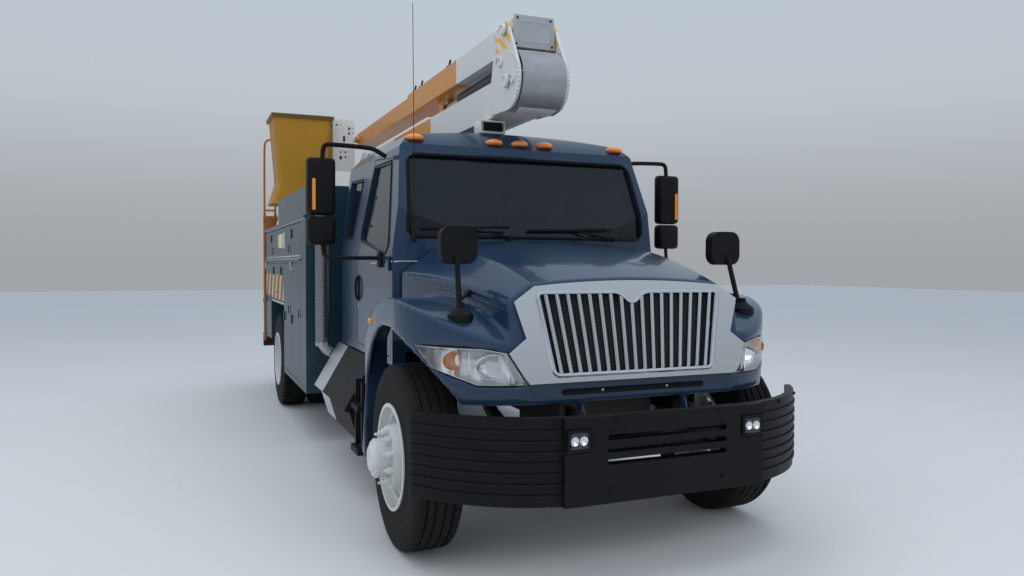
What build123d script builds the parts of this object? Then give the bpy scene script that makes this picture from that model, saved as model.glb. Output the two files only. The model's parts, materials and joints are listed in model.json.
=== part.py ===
from build123d import *
import math
import os

os.makedirs("parts", exist_ok=True)

# A bucket truck: a bonneted chassis with an extended cab, a service body with side lockers,
# and a folding boom that lies forward over the cab and back again to a bucket at the rear.
# Millimetres. X points to the truck's left, Y to its rear, Z up; the ground is at Z = 0.

# Driving dimensions of the chassis
overall_length = 7800
front_overhang = 1030
wheelbase = 5080
frame_width = 860
frame_top = 1020
rail_height = 250
rail_flange = 80
rail_wall = 10

# Tyres and wheels
tyre_radius = 525
tyre_width = 280
tyre_shoulder = 34
rim_radius = 290
front_track = 2060
rear_outer_track = 2150
twin_spacing = 320
kingpin_x = 880
hub_radius = 110
fit = 0.4

# Cab
cab_half_width = 985
cab_front = 600
cab_back = 2480
cab_sill = 950
cab_floor = 1040
cowl_z = 1775
cab_top = 2560
cab_wall = 50
glass = 6
seam = 6

# Hood and nose
nose_y = -690
hood_rear = 585
hood_wall = 28
fender_x = 1185
fender_rear = 735
arch_radius = 700
arch_y = 60
arch_z = 560
hood_pivot_y = -700
hood_pivot_z = 800
hood_pin = 12

# Service body
body_half_width = 1220
body_front = 2880
body_rear = 6330
body_bottom = 450
body_top = 2050
locker_depth = 460
tier_top = 2320
tier_rear = 4970
deck_z = 1130
deck_plate = 30
body_wall = 25
door_thick = 28
door_gap = 6

# Boom
pivot_height = 2865
lower_pivot = 5200
elbow_pivot = 665
slew_y = 5080
boom_bottom = 2690
lower_half_width = 140
lower_height = 255
upper_pivot = 720
upper_pivot_z = 3225
upper_half_width = 125
upper_bottom = 3110
upper_height = 200
link_dy = 312
link_dz = -135
cheek_gap = 28
cheek = 18
boom_wall = 10

front_axle_y = front_overhang - overall_length / 2


def aft(distance):
    """The Y of a place so far behind the front axle."""
    return front_axle_y + distance


def face_of(plane, points):
    """A flat face with straight edges, drawn on a plane."""
    with BuildSketch(plane) as outline:
        with BuildLine():
            Polyline(*points, close=True)
        make_face()
    return outline.sketch


def side_slab(points, x_from, x_to, mode=Mode.ADD):
    """A slab between two values of X, whose outline is (distance aft, z) points."""
    outline = [(aft(y), z) for y, z in points]
    way = 1 if x_to > x_from else -1
    face = face_of(Plane.YZ.offset(x_from), outline)
    extrude(face, amount=abs(x_to - x_from), dir=(way, 0, 0), mode=mode)


def front_slab(points, y_from, y_to, mode=Mode.ADD):
    """A slab between two distances aft, whose outline is (x, z) points."""
    face = face_of(Plane.XZ.offset(-aft(y_from)), points)
    extrude(face, amount=y_to - y_from, dir=(0, 1, 0), mode=mode)


def block(x, y, z, mode=Mode.ADD):
    """A block given by its lowest and highest X, distance aft and Z."""
    x, z = sorted(x), sorted(z)
    middle = ((x[0] + x[1]) / 2, aft((y[0] + y[1]) / 2), (z[0] + z[1]) / 2)
    with Locations(middle):
        Box(x[1] - x[0], y[1] - y[0], z[1] - z[0], mode=mode)


def bar_x(y, z, radius, x, mode=Mode.ADD):
    """A round bar along X."""
    x = sorted(x)
    with Locations(((x[0] + x[1]) / 2, aft(y), z)):
        Cylinder(radius, x[1] - x[0], rotation=(0, 90, 0), mode=mode)


def bar_y(x, z, radius, y, mode=Mode.ADD):
    """A round bar along Y."""
    with Locations((x, aft((y[0] + y[1]) / 2), z)):
        Cylinder(radius, y[1] - y[0], rotation=(90, 0, 0), mode=mode)


def bar_z(x, y, radius, z, mode=Mode.ADD):
    """A round bar along Z."""
    with Locations((x, aft(y), (z[0] + z[1]) / 2)):
        Cylinder(radius, z[1] - z[0], mode=mode)


def rod(start, end, radius, mode=Mode.ADD):
    """A round bar between two points, each (x, distance aft, z)."""
    a = Vector(start[0], aft(start[1]), start[2])
    b = Vector(end[0], aft(end[1]), end[2])
    with BuildSketch(Plane(origin=a, z_dir=b - a)) as section:
        Circle(radius)
    extrude(section.sketch, amount=(b - a).length, mode=mode)


def bent_tube(points, radius, bend):
    """A tube along straight runs and round bends, through (x, distance aft, z) points."""
    route = [(x, aft(y), z) for x, y, z in points]
    with BuildLine() as path:
        FilletPolyline(*route, radius=bend)
    with BuildSketch(Plane(origin=path.line @ 0, z_dir=path.line % 0)) as section:
        Circle(radius)
    sweep(section.sketch, path=path.line)


def save(piece, label):
    """Labels a finished piece and writes its STEP file."""
    piece.part.label = label
    export_step(piece.part, f"parts/{label}.step")


# Chassis frame: two channel rails, cross members and the hood's hinge brackets
frame_front = -640
frame_rear = 6640
rail_bottom = frame_top - rail_height
rail_x = frame_width / 2
crossmember_places = (-560, 1500, 2700, 3900, 4650, slew_y, 5550, 6500)
crossmember_size = 120
hinge_arm_x = rail_x - 110
with BuildPart() as chassis_frame:
    for side in (-1, 1):
        block((side * (rail_x - rail_wall), side * rail_x), (frame_front, frame_rear),
              (rail_bottom, frame_top))
        for z in (rail_bottom, frame_top - rail_wall):
            block((side * (rail_x - rail_flange), side * rail_x), (frame_front, frame_rear),
                  (z, z + rail_wall))
        block((side * (rail_x - 95), side * (rail_x - rail_flange + 2)),
              (hood_pivot_y - 40, frame_front + 80), (rail_bottom, rail_bottom + 80))
        bar_x(hood_pivot_y, hood_pivot_z, hood_pin,
              (side * (hinge_arm_x - 20), side * (rail_x - 90)))
    for y in crossmember_places:
        block((-rail_x + rail_wall, rail_x - rail_wall),
              (y - crossmember_size / 2, y + crossmember_size / 2),
              (frame_top - rail_wall - crossmember_size, frame_top - rail_wall))
save(chassis_frame, "chassis_frame")


def leaf_pack(x, y, z_axle, half_length):
    """A pack of leaf springs, arched from its eyes under the rail down to the axle."""
    leaf = 75
    top = rail_bottom - 30
    with BuildSketch(Plane.YZ.offset(x - leaf / 2)) as pack:
        with BuildLine():
            ThreePointArc((aft(y - half_length), top), (aft(y), z_axle + 70),
                          (aft(y + half_length), top))
            Line((aft(y + half_length), top), (aft(y + half_length), top - 25))
            ThreePointArc((aft(y + half_length), top - 25), (aft(y), z_axle),
                          (aft(y - half_length), top - 25))
            Line((aft(y - half_length), top - 25), (aft(y - half_length), top))
        make_face()
    extrude(pack.sketch, amount=leaf, dir=(1, 0, 0))
    for end in (-1, 1):
        block((x - leaf / 2, x + leaf / 2),
              (y + end * half_length - 30, y + end * half_length + 30), (top - 30, rail_bottom))


# Front axle: a beam dropped under the engine, with kingpin bosses and leaf springs
beam_half = 55
spring_x = rail_x - 40
kingpin_radius = 28
with BuildPart() as front_axle:
    front_slab([(-760, 440), (760, 440), (kingpin_x + 30, 480), (kingpin_x + 30, 560),
                (-kingpin_x - 30, 560), (-kingpin_x - 30, 480)], -beam_half, beam_half)
    block((-500, 500), (-beam_half - 1, beam_half + 1), (535, 561), mode=Mode.SUBTRACT)
    for side in (-1, 1):
        bar_z(side * kingpin_x, 0, 60, (450, 600))
        leaf_pack(side * spring_x, 0, 533, 570)
        bar_z(side * kingpin_x, 0, kingpin_radius + fit, (440, 610), mode=Mode.SUBTRACT)
save(front_axle, "front_axle")

# Rear axle: a tube with the differential bowl in its middle, and leaf springs
rear_tube = 75
diff_radius = 200
twin_inner = rear_outer_track / 2 - twin_spacing - tyre_width / 2
with BuildPart() as rear_axle:
    bar_x(wheelbase, tyre_radius, rear_tube, (-twin_inner - 175, twin_inner + 175))
    bar_x(wheelbase, tyre_radius, 50, (-twin_inner - 400, twin_inner + 400))
    bar_x(wheelbase, tyre_radius, diff_radius, (-140, 140))
    bar_y(0, tyre_radius, 90, (wheelbase - 330, wheelbase))
    for side in (-1, 1):
        leaf_pack(side * spring_x, wheelbase, tyre_radius + rear_tube - 8, 650)
save(rear_axle, "rear_axle")

# Engine, radiator, gearbox and drive shaft, as plain blocks in their places
with BuildPart() as engine_and_driveline:
    block((-300, 300), (-380, 480), (700, 1400))
    block((-250, 250), (-300, 300), (620, 700))
    block((-180, 180), (480, 1400), (700, 1000))
    block((-330, 330), (-500, -440), (rail_bottom + 160, 1400))
    block((-100, 100), (-440, -380), (900, 1300))
    rod((0, 1400, 830), (0, wheelbase - 345, tyre_radius + 20), 50)
    for side in (-1, 1):
        block((side * 299, side * (rail_x - 30)), (-60, 60),
              (rail_bottom + rail_wall + 0.3, rail_bottom + rail_wall + 50))
save(engine_and_driveline, "engine_and_driveline")

# Front bumper: a deep shell swept back at both ends, ribbed there, with a raised middle
bumper_front = -front_overhang + 20
bumper_end = -540
bumper_half_width = 1200
bumper_bottom = 450
bumper_top = 880
bumper_wall = 40


def bumper_outline(inset, z):
    """The bumper's plan, drawn at a height and moved in from its front."""
    with BuildSketch(Plane.XY.offset(z)) as plan:
        with BuildLine():
            Polyline((-bumper_half_width + inset, aft(bumper_end)),
                     (bumper_half_width - inset, aft(bumper_end)))
            ThreePointArc((bumper_half_width - inset, aft(bumper_end)),
                          (960 - 0.6 * inset, aft(bumper_front + 190 + 0.8 * inset)),
                          (440, aft(bumper_front + inset)))
            Line((440, aft(bumper_front + inset)), (-440, aft(bumper_front + inset)))
            ThreePointArc((-440, aft(bumper_front + inset)),
                          (-960 + 0.6 * inset, aft(bumper_front + 190 + 0.8 * inset)),
                          (-bumper_half_width + inset, aft(bumper_end)))
        make_face()
    return plan.sketch


rib_pitch = 52
rib_height = 16
rib_out = 9
panel_half = 390
lip_half = 525
lamp_x = 512
lamp_half = 72
lamp_z = (708, 833)
with BuildPart() as front_bumper:
    extrude(bumper_outline(0, bumper_bottom), amount=bumper_top - bumper_bottom)
    extrude(bumper_outline(bumper_wall, bumper_bottom), amount=bumper_top - bumper_bottom,
            mode=Mode.SUBTRACT)
    for k in range(7):
        z = bumper_bottom + 45 + k * rib_pitch
        extrude(bumper_outline(-rib_out, z), amount=rib_height)
        extrude(bumper_outline(bumper_wall - 2, z - 1), amount=rib_height + 2,
                mode=Mode.SUBTRACT)
    block((-lip_half - 60, lip_half + 60), (bumper_front - 20, bumper_front + 10),
          (bumper_bottom, bumper_top))
    for side in (-1, 1):
        block((side * (rail_x - 70), side * rail_x), (bumper_front + 30, frame_front + 25),
              (rail_bottom - 80.3, rail_bottom - 0.3))
    for z in (640, 700, 760):
        block((-panel_half + 40, panel_half - 40), (bumper_front - 30, bumper_front + 60),
              (z, z + 26), mode=Mode.SUBTRACT)
    for side in (-1, 1):
        block((side * (lamp_x - lamp_half), side * (lamp_x + lamp_half)),
              (bumper_front - 30, bumper_front + 60), lamp_z, mode=Mode.SUBTRACT)
        # the driving lamp in its square opening
        block((side * (lamp_x - lamp_half + fit), side * (lamp_x + lamp_half - fit)),
              (bumper_front - 16, bumper_front + 50), (lamp_z[0] + fit, lamp_z[1] - fit))
save(front_bumper, "front_bumper")


# Cab: a shell made of three outlines that meet, and the same outlines moved in
def cab_form(inset):
    """The cab's outer shape, or with an inset the room inside it."""
    with BuildPart() as form:
        with BuildSketch(Plane.YZ.offset(-cab_half_width - 20)) as side:
            with BuildLine():
                Polyline((aft(cab_front), cab_sill), (aft(cab_front), cowl_z),
                         (aft(cab_front + 240), 2380), (aft(cab_front + 250), 2430))
                ThreePointArc((aft(cab_front + 250), 2430), (aft(cab_front + 370), 2520),
                              (aft(1500), cab_top))
                Line((aft(1500), cab_top), (aft(cab_back - 250), cab_top))
                ThreePointArc((aft(cab_back - 250), cab_top), (aft(cab_back - 60), 2500),
                              (aft(cab_back), 2330))
                Polyline((aft(cab_back), 2330), (aft(cab_back), cab_sill),
                         (aft(cab_front), cab_sill))
            make_face()
            offset(amount=-inset)
        extrude(side.sketch, amount=2 * cab_half_width + 40, dir=(1, 0, 0))
        with BuildSketch(Plane.XZ.offset(-aft(cab_front - 50))) as front:
            with BuildLine():
                Polyline((-820, 2500), (-895, 2410), (-cab_half_width, 1700),
                         (-cab_half_width, cab_sill), (cab_half_width, cab_sill),
                         (cab_half_width, 1700), (895, 2410), (820, 2500))
                ThreePointArc((820, 2500), (0, cab_top + 10), (-820, 2500))
            make_face()
            offset(amount=-inset)
        extrude(front.sketch, amount=cab_back - cab_front + 100, dir=(0, 1, 0),
                mode=Mode.INTERSECT)
        with BuildSketch(Plane.XY.offset(cab_sill - 10)) as plan:
            with BuildLine():
                ThreePointArc((-cab_half_width, aft(cab_front + 95)), (0, aft(cab_front)),
                              (cab_half_width, aft(cab_front + 95)))
                Polyline((cab_half_width, aft(cab_front + 95)),
                         (cab_half_width, aft(cab_back - 60)),
                         (cab_half_width - 60, aft(cab_back)),
                         (-cab_half_width + 60, aft(cab_back)),
                         (-cab_half_width, aft(cab_back - 60)),
                         (-cab_half_width, aft(cab_front + 95)))
            make_face()
            offset(amount=-inset)
        extrude(plan.sketch, amount=cab_top - cab_sill + 100, mode=Mode.INTERSECT)
    return form.part


cab_outside = cab_form(0)
cab_inside = cab_form(cab_wall)
door_outline = [(745, 1000), (745, 1700), (985, 2345), (1540, 2395), (1790, 1830),
                (1790, 1000)]
door_inner = [(745 + seam, 1000 + seam), (745 + seam, 1699), (987 + seam, 2345 - seam),
              (1540 - seam, 2394 - seam), (1790 - seam, 1829), (1790 - seam, 1000 + seam)]
door_window = [(815, 1745), (1015, 2318), (1500, 2328), (1700, 1850), (1690, 1800), (880, 1690)]
quarter_window = [(1890, 2270), (2040, 1830), (2360, 1830), (2335, 2290)]
windshield = [(-880, 1805), (880, 1805), (838, 2345), (-838, 2345)]
rear_window = [(-520, 1800), (520, 1800), (500, 2260), (-500, 2260)]
rear_window_y = (cab_back - 150, cab_back + 50)
windshield_y = (cab_front - 50, cab_front + 330)
skirt_x = 900

with BuildPart() as cab_room:
    add(cab_inside)
    block((-cab_half_width, cab_half_width), (cab_front - 50, cab_back + 50),
          (cab_sill - 20, cab_floor + cab_wall), mode=Mode.SUBTRACT)

with BuildPart() as cab_shell:
    add(cab_outside)
    add(cab_room.part, mode=Mode.SUBTRACT)
    block((-skirt_x, skirt_x), (cab_front - 50, cab_back + 50), (cab_sill - 20, cab_floor),
          mode=Mode.SUBTRACT)
    for side in (-1, 1):
        side_slab(door_outline, side * (skirt_x - 30), side * (cab_half_width + 20),
                  mode=Mode.SUBTRACT)
        side_slab(quarter_window, side * (skirt_x - 60), side * (cab_half_width + 20),
                  mode=Mode.SUBTRACT)
    front_slab(windshield, *windshield_y, mode=Mode.SUBTRACT)
    front_slab(rear_window, *rear_window_y, mode=Mode.SUBTRACT)
    for side in (-1, 1):
        for y in (800, 2200):
            block((side * (rail_x - 60), side * rail_x), (y, y + 100),
                  (frame_top + 0.3, cab_floor + 5))
save(cab_shell, "cab_shell")

glass_inset = 18
glass_outside = cab_form(glass_inset)
glass_inside = cab_form(glass_inset + glass)
with BuildPart() as cab_glazing:
    front_slab(windshield, *windshield_y)
    front_slab(rear_window, *rear_window_y)
    for side in (-1, 1):
        side_slab(quarter_window, side * (skirt_x - 60), side * (cab_half_width + 20))
    add(glass_outside, mode=Mode.INTERSECT)
    add(glass_inside, mode=Mode.SUBTRACT)
save(cab_glazing, "cab_glazing")

# Cab doors, each cut from the same shell, with its window glass and its mirrors
mirror_x = 1377
mirror_y = 1080
arm_radius = 14
door_hinge_x = cab_half_width + 9.4
door_hinge_radius = 9
for side, name in ((-1, "right"), (1, "left")):
    with BuildPart() as door:
        side_slab(door_inner, side * (skirt_x - 30), side * (cab_half_width + 20))
        add(cab_outside, mode=Mode.INTERSECT)
        add(cab_inside, mode=Mode.SUBTRACT)
        side_slab(door_window, side * (skirt_x - 60), side * (cab_half_width + 20),
                  mode=Mode.SUBTRACT)
        for z in (1270, 1570):
            bar_z(side * door_hinge_x, 745, door_hinge_radius, (z, z + 90))
            block((side * (cab_half_width - 4), side * (door_hinge_x + 4)), (746, 800),
                  (z + 10, z + 80))
    save(door, f"door_{name}")
    with BuildPart() as door_glass:
        side_slab(door_window, side * (skirt_x - 60), side * (cab_half_width + 20))
        add(glass_outside, mode=Mode.INTERSECT)
        add(glass_inside, mode=Mode.SUBTRACT)
    save(door_glass, f"door_glass_{name}")
    with BuildPart() as mirror:
        with Locations((side * mirror_x, aft(mirror_y), 2137)):
            Box(200, 90, 395)
        with Locations((side * mirror_x, aft(mirror_y), 1837)):
            Box(200, 90, 206)
        fillet(mirror.edges().filter_by(Axis.Z), 40)
        bent_tube([(side * 880, mirror_y, 2334), (side * 1010, mirror_y, 2412),
                   (side * (mirror_x - 25), mirror_y, 2425),
                   (side * (mirror_x - 10), mirror_y, 2330)], arm_radius, 40)
        bent_tube([(side * (cab_half_width + 1), 1010, 1655),
                   (side * (mirror_x - 25), 1040, 1655),
                   (side * (mirror_x - 10), mirror_y, 1740)], arm_radius, 45)
        block((side * (cab_half_width + 0.3), side * (cab_half_width + 14)), (965, 1055),
              (1590, 1700))
        add(cab_outside, mode=Mode.SUBTRACT)
    save(mirror, f"mirror_{name}")

# Cab inside: two seats on one riser, and the dashboard with the steering wheel
wheel_rim = 225
seat_x = 470
with BuildPart() as cab_interior:
    block((-800, 800), (1330, 1860), (cab_floor + cab_wall, 1180))
    for side in (-1, 1):
        block((side * (seat_x - 250), side * (seat_x + 250)), (1340, 1850), (1180, 1400))
        side_slab([(1760, 1400), (1850, 1400), (1990, 1990), (1900, 1990)],
                  side * (seat_x - 240), side * (seat_x + 240))
        side_slab([(1905, 2010), (1975, 2010), (2010, 2170), (1940, 2170)],
                  side * (seat_x - 130), side * (seat_x + 130))
        block((side * seat_x - 60, side * seat_x + 60), (1925, 1965), (1980, 2020))
    side_slab([(630, 1350), (630, 1700), (900, 1735), (1060, 1690), (1040, 1500), (900, 1350)],
              -900, 900)
    rod((seat_x, 960, 1560), (seat_x, 1200, 1640), 30)
    with BuildSketch(Plane(origin=(seat_x, aft(1200), 1640),
                           z_dir=(0, 0.85, 0.53))) as ring:
        Circle(wheel_rim)
        Circle(wheel_rim - 28, mode=Mode.SUBTRACT)
        Rectangle(2 * wheel_rim - 20, 40)
        Circle(60)
    extrude(ring.sketch, amount=26)
    add(cab_room.part, mode=Mode.INTERSECT)
save(cab_interior, "cab_interior")

# Marker lamps along the roof's front edge, and the work light on the roof
light_x = -120
light_y = 1180
light_z = (2572, 2668)
marker_places = ((-775, 905, 2462), (-196, 862, 2476), (0, 860, 2480), (196, 862, 2476),
                 (775, 905, 2462))
with BuildPart() as roof_lamps:
    for x, y, z in marker_places:
        block((x - 60, x + 60), (y - 20, y + 95), (z, z + 42))
    block((light_x - 95, light_x + 95), (light_y - 60, light_y + 60), light_z)
    fillet(roof_lamps.edges().group_by(Axis.Z)[-1], 30)
    bar_z(light_x, light_y, 45, (2500, light_z[0] + 5))
    add(cab_outside, mode=Mode.SUBTRACT)
save(roof_lamps, "roof_lamps")

# Exhaust: a guarded upright stack behind the cab on the right, and the pipe under it
stack_x = -1110
stack_y = 2660
guard_radius = 62
pipe_radius = 45
with BuildPart() as exhaust_stack:
    bar_z(stack_x, stack_y, guard_radius, (900, 2250))
    bar_z(stack_x, stack_y, pipe_radius, (2250, 2420))
    bent_tube([(stack_x, stack_y, 1000), (stack_x, stack_y, 830),
               (-rail_x - 0.3, stack_y, 830)], pipe_radius, 120)
save(exhaust_stack, "exhaust_stack")

# Battery box with a sloping lid on the right, and the black ribbed step ahead of it
box_front = 1250
box_rear = 2560
with BuildPart() as battery_box:
    front_slab([(-rail_x - 0.3, 330), (-1080, 330), (-1150, 560), (-960, 900),
                (-rail_x - 0.3, 900)], box_front + 60, box_rear)
    front_slab([(-960, 905), (-980, 935), (-rail_x - 0.3, 935), (-rail_x - 0.3, 900),
                (-940, 900)], box_front, box_rear + 20)
    front_slab([(-1165, 555), (-1195, 575), (-985, 937), (-950, 915)], box_front, box_rear + 20)
    block((-1150, -rail_x - 0.3), (1010, 1240), (300, 340))
    block((-1150, -rail_x - 0.3), (1010, 1240), (600, 635))
    for y in (1010, 1210):
        block((-1120, -rail_x - 0.3), (y, y + 30), (300, 800))
save(battery_box, "battery_box")

# Fuel tank on the left, a round-cornered box with two straps and a tread on it
tank_front = 1060
tank_rear = 2560
with BuildPart() as fuel_tank:
    with Locations((790, aft((tank_front + tank_rear) / 2), 620)):
        Box(620, tank_rear - tank_front, 560)
    fillet(fuel_tank.edges().filter_by(Axis.Y), 120)
    for y in (tank_front + 150, tank_rear - 190):
        block((rail_x + 0.3, 500), (y, y + 40), (400, 840))
    block((860, 1120), (tank_front + 60, tank_front + 660), (880, 912))
    block((1095, 1150), (tank_front + 60, tank_front + 660), (420, 450))
    for y in (tank_front + 80, tank_front + 600):
        block((1080, 1110), (y, y + 40), (420, 640))
save(fuel_tank, "fuel_tank")

# Hood: a lofted nose and two bulging fenders, as a shell open below and behind.
# Each station: distance aft, half width at the crease, crease z, half width of the top, top z
hood_stations = ((hood_rear, 955, 1560, 720, 1735, 45),
                 (0, 850, 1520, 640, 1668, 40),
                 (nose_y - 30, 690, 1410, 570, 1478, 26))
hood_bottom = 890
rake_rise = 425
rake_run = 60
grille_z = 1037
nose_flat = 745
rake = math.degrees(math.atan2(rake_run, rake_rise))


def nose_section(station, inset, low):
    """One cross section of the hood, moved in by the inset."""
    y, half, crease, top_half, top, crown = station
    with BuildSketch(Plane.XZ.offset(-aft(y))) as section:
        with BuildLine():
            Polyline((-top_half + 0.4 * inset, top - inset), (-half + inset, crease - 0.3 * inset),
                     (-half + inset, low), (half - inset, low),
                     (half - inset, crease - 0.3 * inset), (top_half - 0.4 * inset, top - inset))
            ThreePointArc((top_half - 0.4 * inset, top - inset), (0, top + crown - inset),
                          (-top_half + 0.4 * inset, top - inset))
        make_face()
    return section.sketch


def hood_form(inset, low):
    """The hood's outer shape, or with an inset the room under it."""
    with BuildPart() as form:
        loft([nose_section(s, inset, low) for s in hood_stations])
        with BuildSketch(Plane.YZ.offset(-fender_x - 10)) as side:
            with BuildLine():
                Line((aft(nose_y - 30), low), (aft(nose_y - 30), 1180 - inset))
                ThreePointArc((aft(nose_y - 30), 1180 - inset), (aft(0), 1425 - inset),
                              (aft(fender_rear - inset), 1150 - inset))
                Polyline((aft(fender_rear - inset), 1150 - inset),
                         (aft(fender_rear - inset), 790), (aft(880 - inset), 350 - inset),
                         (aft(nose_y + 130), 350 - inset), (aft(nose_y + 130), low),
                         (aft(nose_y - 30), low))
            make_face()
        extrude(side.sketch, amount=2 * fender_x + 20, dir=(1, 0, 0))
        with BuildSketch(Plane.XY.offset(200)) as plan:
            with BuildLine():
                Line((-480, aft(nose_y - 20 + inset)), (480, aft(nose_y - 20 + inset)))
                ThreePointArc((480, aft(nose_y - 20 + inset)),
                              (960 - 0.6 * inset, aft(-560 + 0.8 * inset)),
                              (fender_x - inset, aft(-130)))
                Polyline((fender_x - inset, aft(-130)), (fender_x - inset, aft(300)),
                         (fender_x - 35 - inset, aft(900)), (-fender_x + 35 + inset, aft(900)),
                         (-fender_x + inset, aft(300)), (-fender_x + inset, aft(-130)))
                ThreePointArc((-fender_x + inset, aft(-130)),
                              (-960 + 0.6 * inset, aft(-560 + 0.8 * inset)),
                              (-480, aft(nose_y - 20 + inset)))
            make_face()
        extrude(plan.sketch, amount=1800, mode=Mode.INTERSECT)
        block((-1010, 1010), (hood_rear, 1000), (200, 2000), mode=Mode.SUBTRACT)
        # the raked front of the nose
        side_slab([(nose_y - 100, grille_z - rake_rise),
                   (nose_y - rake_run + inset, grille_z - rake_rise),
                   (nose_y + 2 * rake_run + inset, grille_z + 2 * rake_rise),
                   (nose_y - 100, grille_z + 2 * rake_rise)], -nose_flat, nose_flat,
                  mode=Mode.SUBTRACT)
    return form.part


lamp_outline = [(638, 1000), (739, 1161), (850, 1182), (1125, 1188), (1060, 1075), (880, 1000)]
hood_outside = hood_form(0, hood_bottom)
hood_room = hood_form(hood_wall, 100)
lamp_room = hood_form(60, 100)
grille_bottom = (480, 1049)
grille_top = (556, 1462)
hinge_arm = 18
with BuildPart() as hood:
    add(hood_outside)
    add(hood_room, mode=Mode.SUBTRACT)
    for side in (-1, 1):
        bar_x(arch_y, arch_z, arch_radius, (side * 700, side * (fender_x + 20)),
              mode=Mode.SUBTRACT)
        front_slab([(side * x, z) for x, z in lamp_outline], nose_y - 60, -150,
                   mode=Mode.SUBTRACT)
    front_slab([(-grille_bottom[0], grille_bottom[1]), (grille_bottom[0], grille_bottom[1]),
                (grille_top[0], grille_top[1]), (-grille_top[0], grille_top[1])],
               nose_y - 60, nose_y + 160, mode=Mode.SUBTRACT)
    for side in (-1, 1):
        x = side * hinge_arm_x
        side_slab([(hood_pivot_y - 35, hood_pivot_z - 25), (hood_pivot_y + 35, hood_pivot_z - 25),
                   (nose_y + 45, hood_bottom + 10), (nose_y + 45, hood_bottom + 110),
                   (nose_y + 8, hood_bottom + 110), (nose_y - 10, hood_bottom + 2),
                   (hood_pivot_y - 35, hood_pivot_z + 30)], x - hinge_arm / 2, x + hinge_arm / 2)
        bar_x(hood_pivot_y, hood_pivot_z, hood_pin + fit, (x - 20, x + 20), mode=Mode.SUBTRACT)
save(hood, "hood")

# Headlamps, fitted in the hood's two openings
with BuildPart() as headlamps:
    for side in (-1, 1):
        front_slab([(side * x, z) for x, z in lamp_outline], nose_y - 60, -150)
    add(hood_outside, mode=Mode.INTERSECT)
    add(lamp_room, mode=Mode.SUBTRACT)
save(headlamps, "headlamps")

# Grille: a chrome surround over the raked nose, which flares out to the headlamps at its foot,
# with upright bars that lean in at their feet and a V in the middle of its upper edge.
# Its outline on the right half, from the middle of its foot up: (x, distance up the rake)
surround_foot = ((632, -38), (733, 125), (636, 197), (694, 386))
surround_crown = ((577, 466), (0, 494))
grille_plane = Plane(origin=(0, aft(nose_y - 0.3), grille_z), x_dir=(1, 0, 0),
                     z_dir=(0, -math.cos(math.radians(rake)), math.sin(math.radians(rake))))
grille_depth = 26
grille_foot = 474
grille_head = 549
bar_count = 17
bar_width = 22
with BuildPart() as grille:
    with BuildSketch(grille_plane) as surround:
        with BuildLine():
            corner, middle = surround_crown
            Polyline(*[(-x, up) for x, up in reversed(surround_foot)], *surround_foot, corner)
            ThreePointArc(corner, middle, (-corner[0], corner[1]))
            Line((-corner[0], corner[1]), (-surround_foot[-1][0], surround_foot[-1][1]))
        make_face()
        with BuildLine():
            Polyline((-grille_foot, 12), (grille_foot, 12), (grille_head, 425), (60, 425),
                     (0, 362), (-60, 425), (-grille_head, 425), close=True)
        make_face(mode=Mode.SUBTRACT)
        for k in range(bar_count):
            share = (k - (bar_count - 1) / 2) / (bar_count / 2)
            foot = share * grille_foot
            head = share * grille_head
            with BuildLine():
                Polyline((foot - bar_width / 2, 5), (foot + bar_width / 2, 5),
                         (head + bar_width / 2, 432), (head - bar_width / 2, 432), close=True)
            make_face()
    extrude(surround.sketch, amount=grille_depth)
save(grille, "grille")

# Hood mirrors, each on a mast with a brace, standing on a fender
with BuildPart() as hood_mirrors:
    for side in (-1, 1):
        block((side * 770, side * 980), (-330, -265), (1614, 1820))
    fillet(hood_mirrors.edges().filter_by(Axis.Y), 62)
    for side in (-1, 1):
        rod((side * 910, -450, 1270), (side * 890, -330, 1660), 15)
        rod((side * 902, -404, 1420), (side * 780, -250, 1470), 10)
        bar_z(side * 910, -450, 40, (1270, 1354))
    add(hood_outside, mode=Mode.SUBTRACT)
save(hood_mirrors, "hood_mirrors")


# Wheels: tyres and disc wheels, single in front and twin behind
def tyre_profile(x):
    """Half the section of a tyre, as (x, radius) points."""
    half = tyre_width / 2
    return [(x - half, rim_radius + fit), (x - half, tyre_radius - tyre_shoulder),
            (x - half + tyre_shoulder, tyre_radius), (x + half - tyre_shoulder, tyre_radius),
            (x + half, tyre_radius - tyre_shoulder), (x + half, rim_radius + fit)]


def spun(points, y):
    """A ring turned about the wheel's axle from (x, radius) points."""
    outline = [(x, tyre_radius + r) for x, r in points]
    face = face_of(Plane(origin=(0, aft(y), 0), x_dir=(1, 0, 0), z_dir=(0, -1, 0)), outline)
    revolve(face, axis=Axis((0, aft(y), tyre_radius), (1, 0, 0)))


rim_well = 40
rim_wall = 10
rim_flange = 10
rim_lip = 8
disc_wall = 14
disc_step = 80
disc_reach = twin_spacing / 2
disc_radius = 188
hand_holes = 10
hand_hole_radius = 24
hand_hole_circle = 214
spindle_radius = 50


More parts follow.
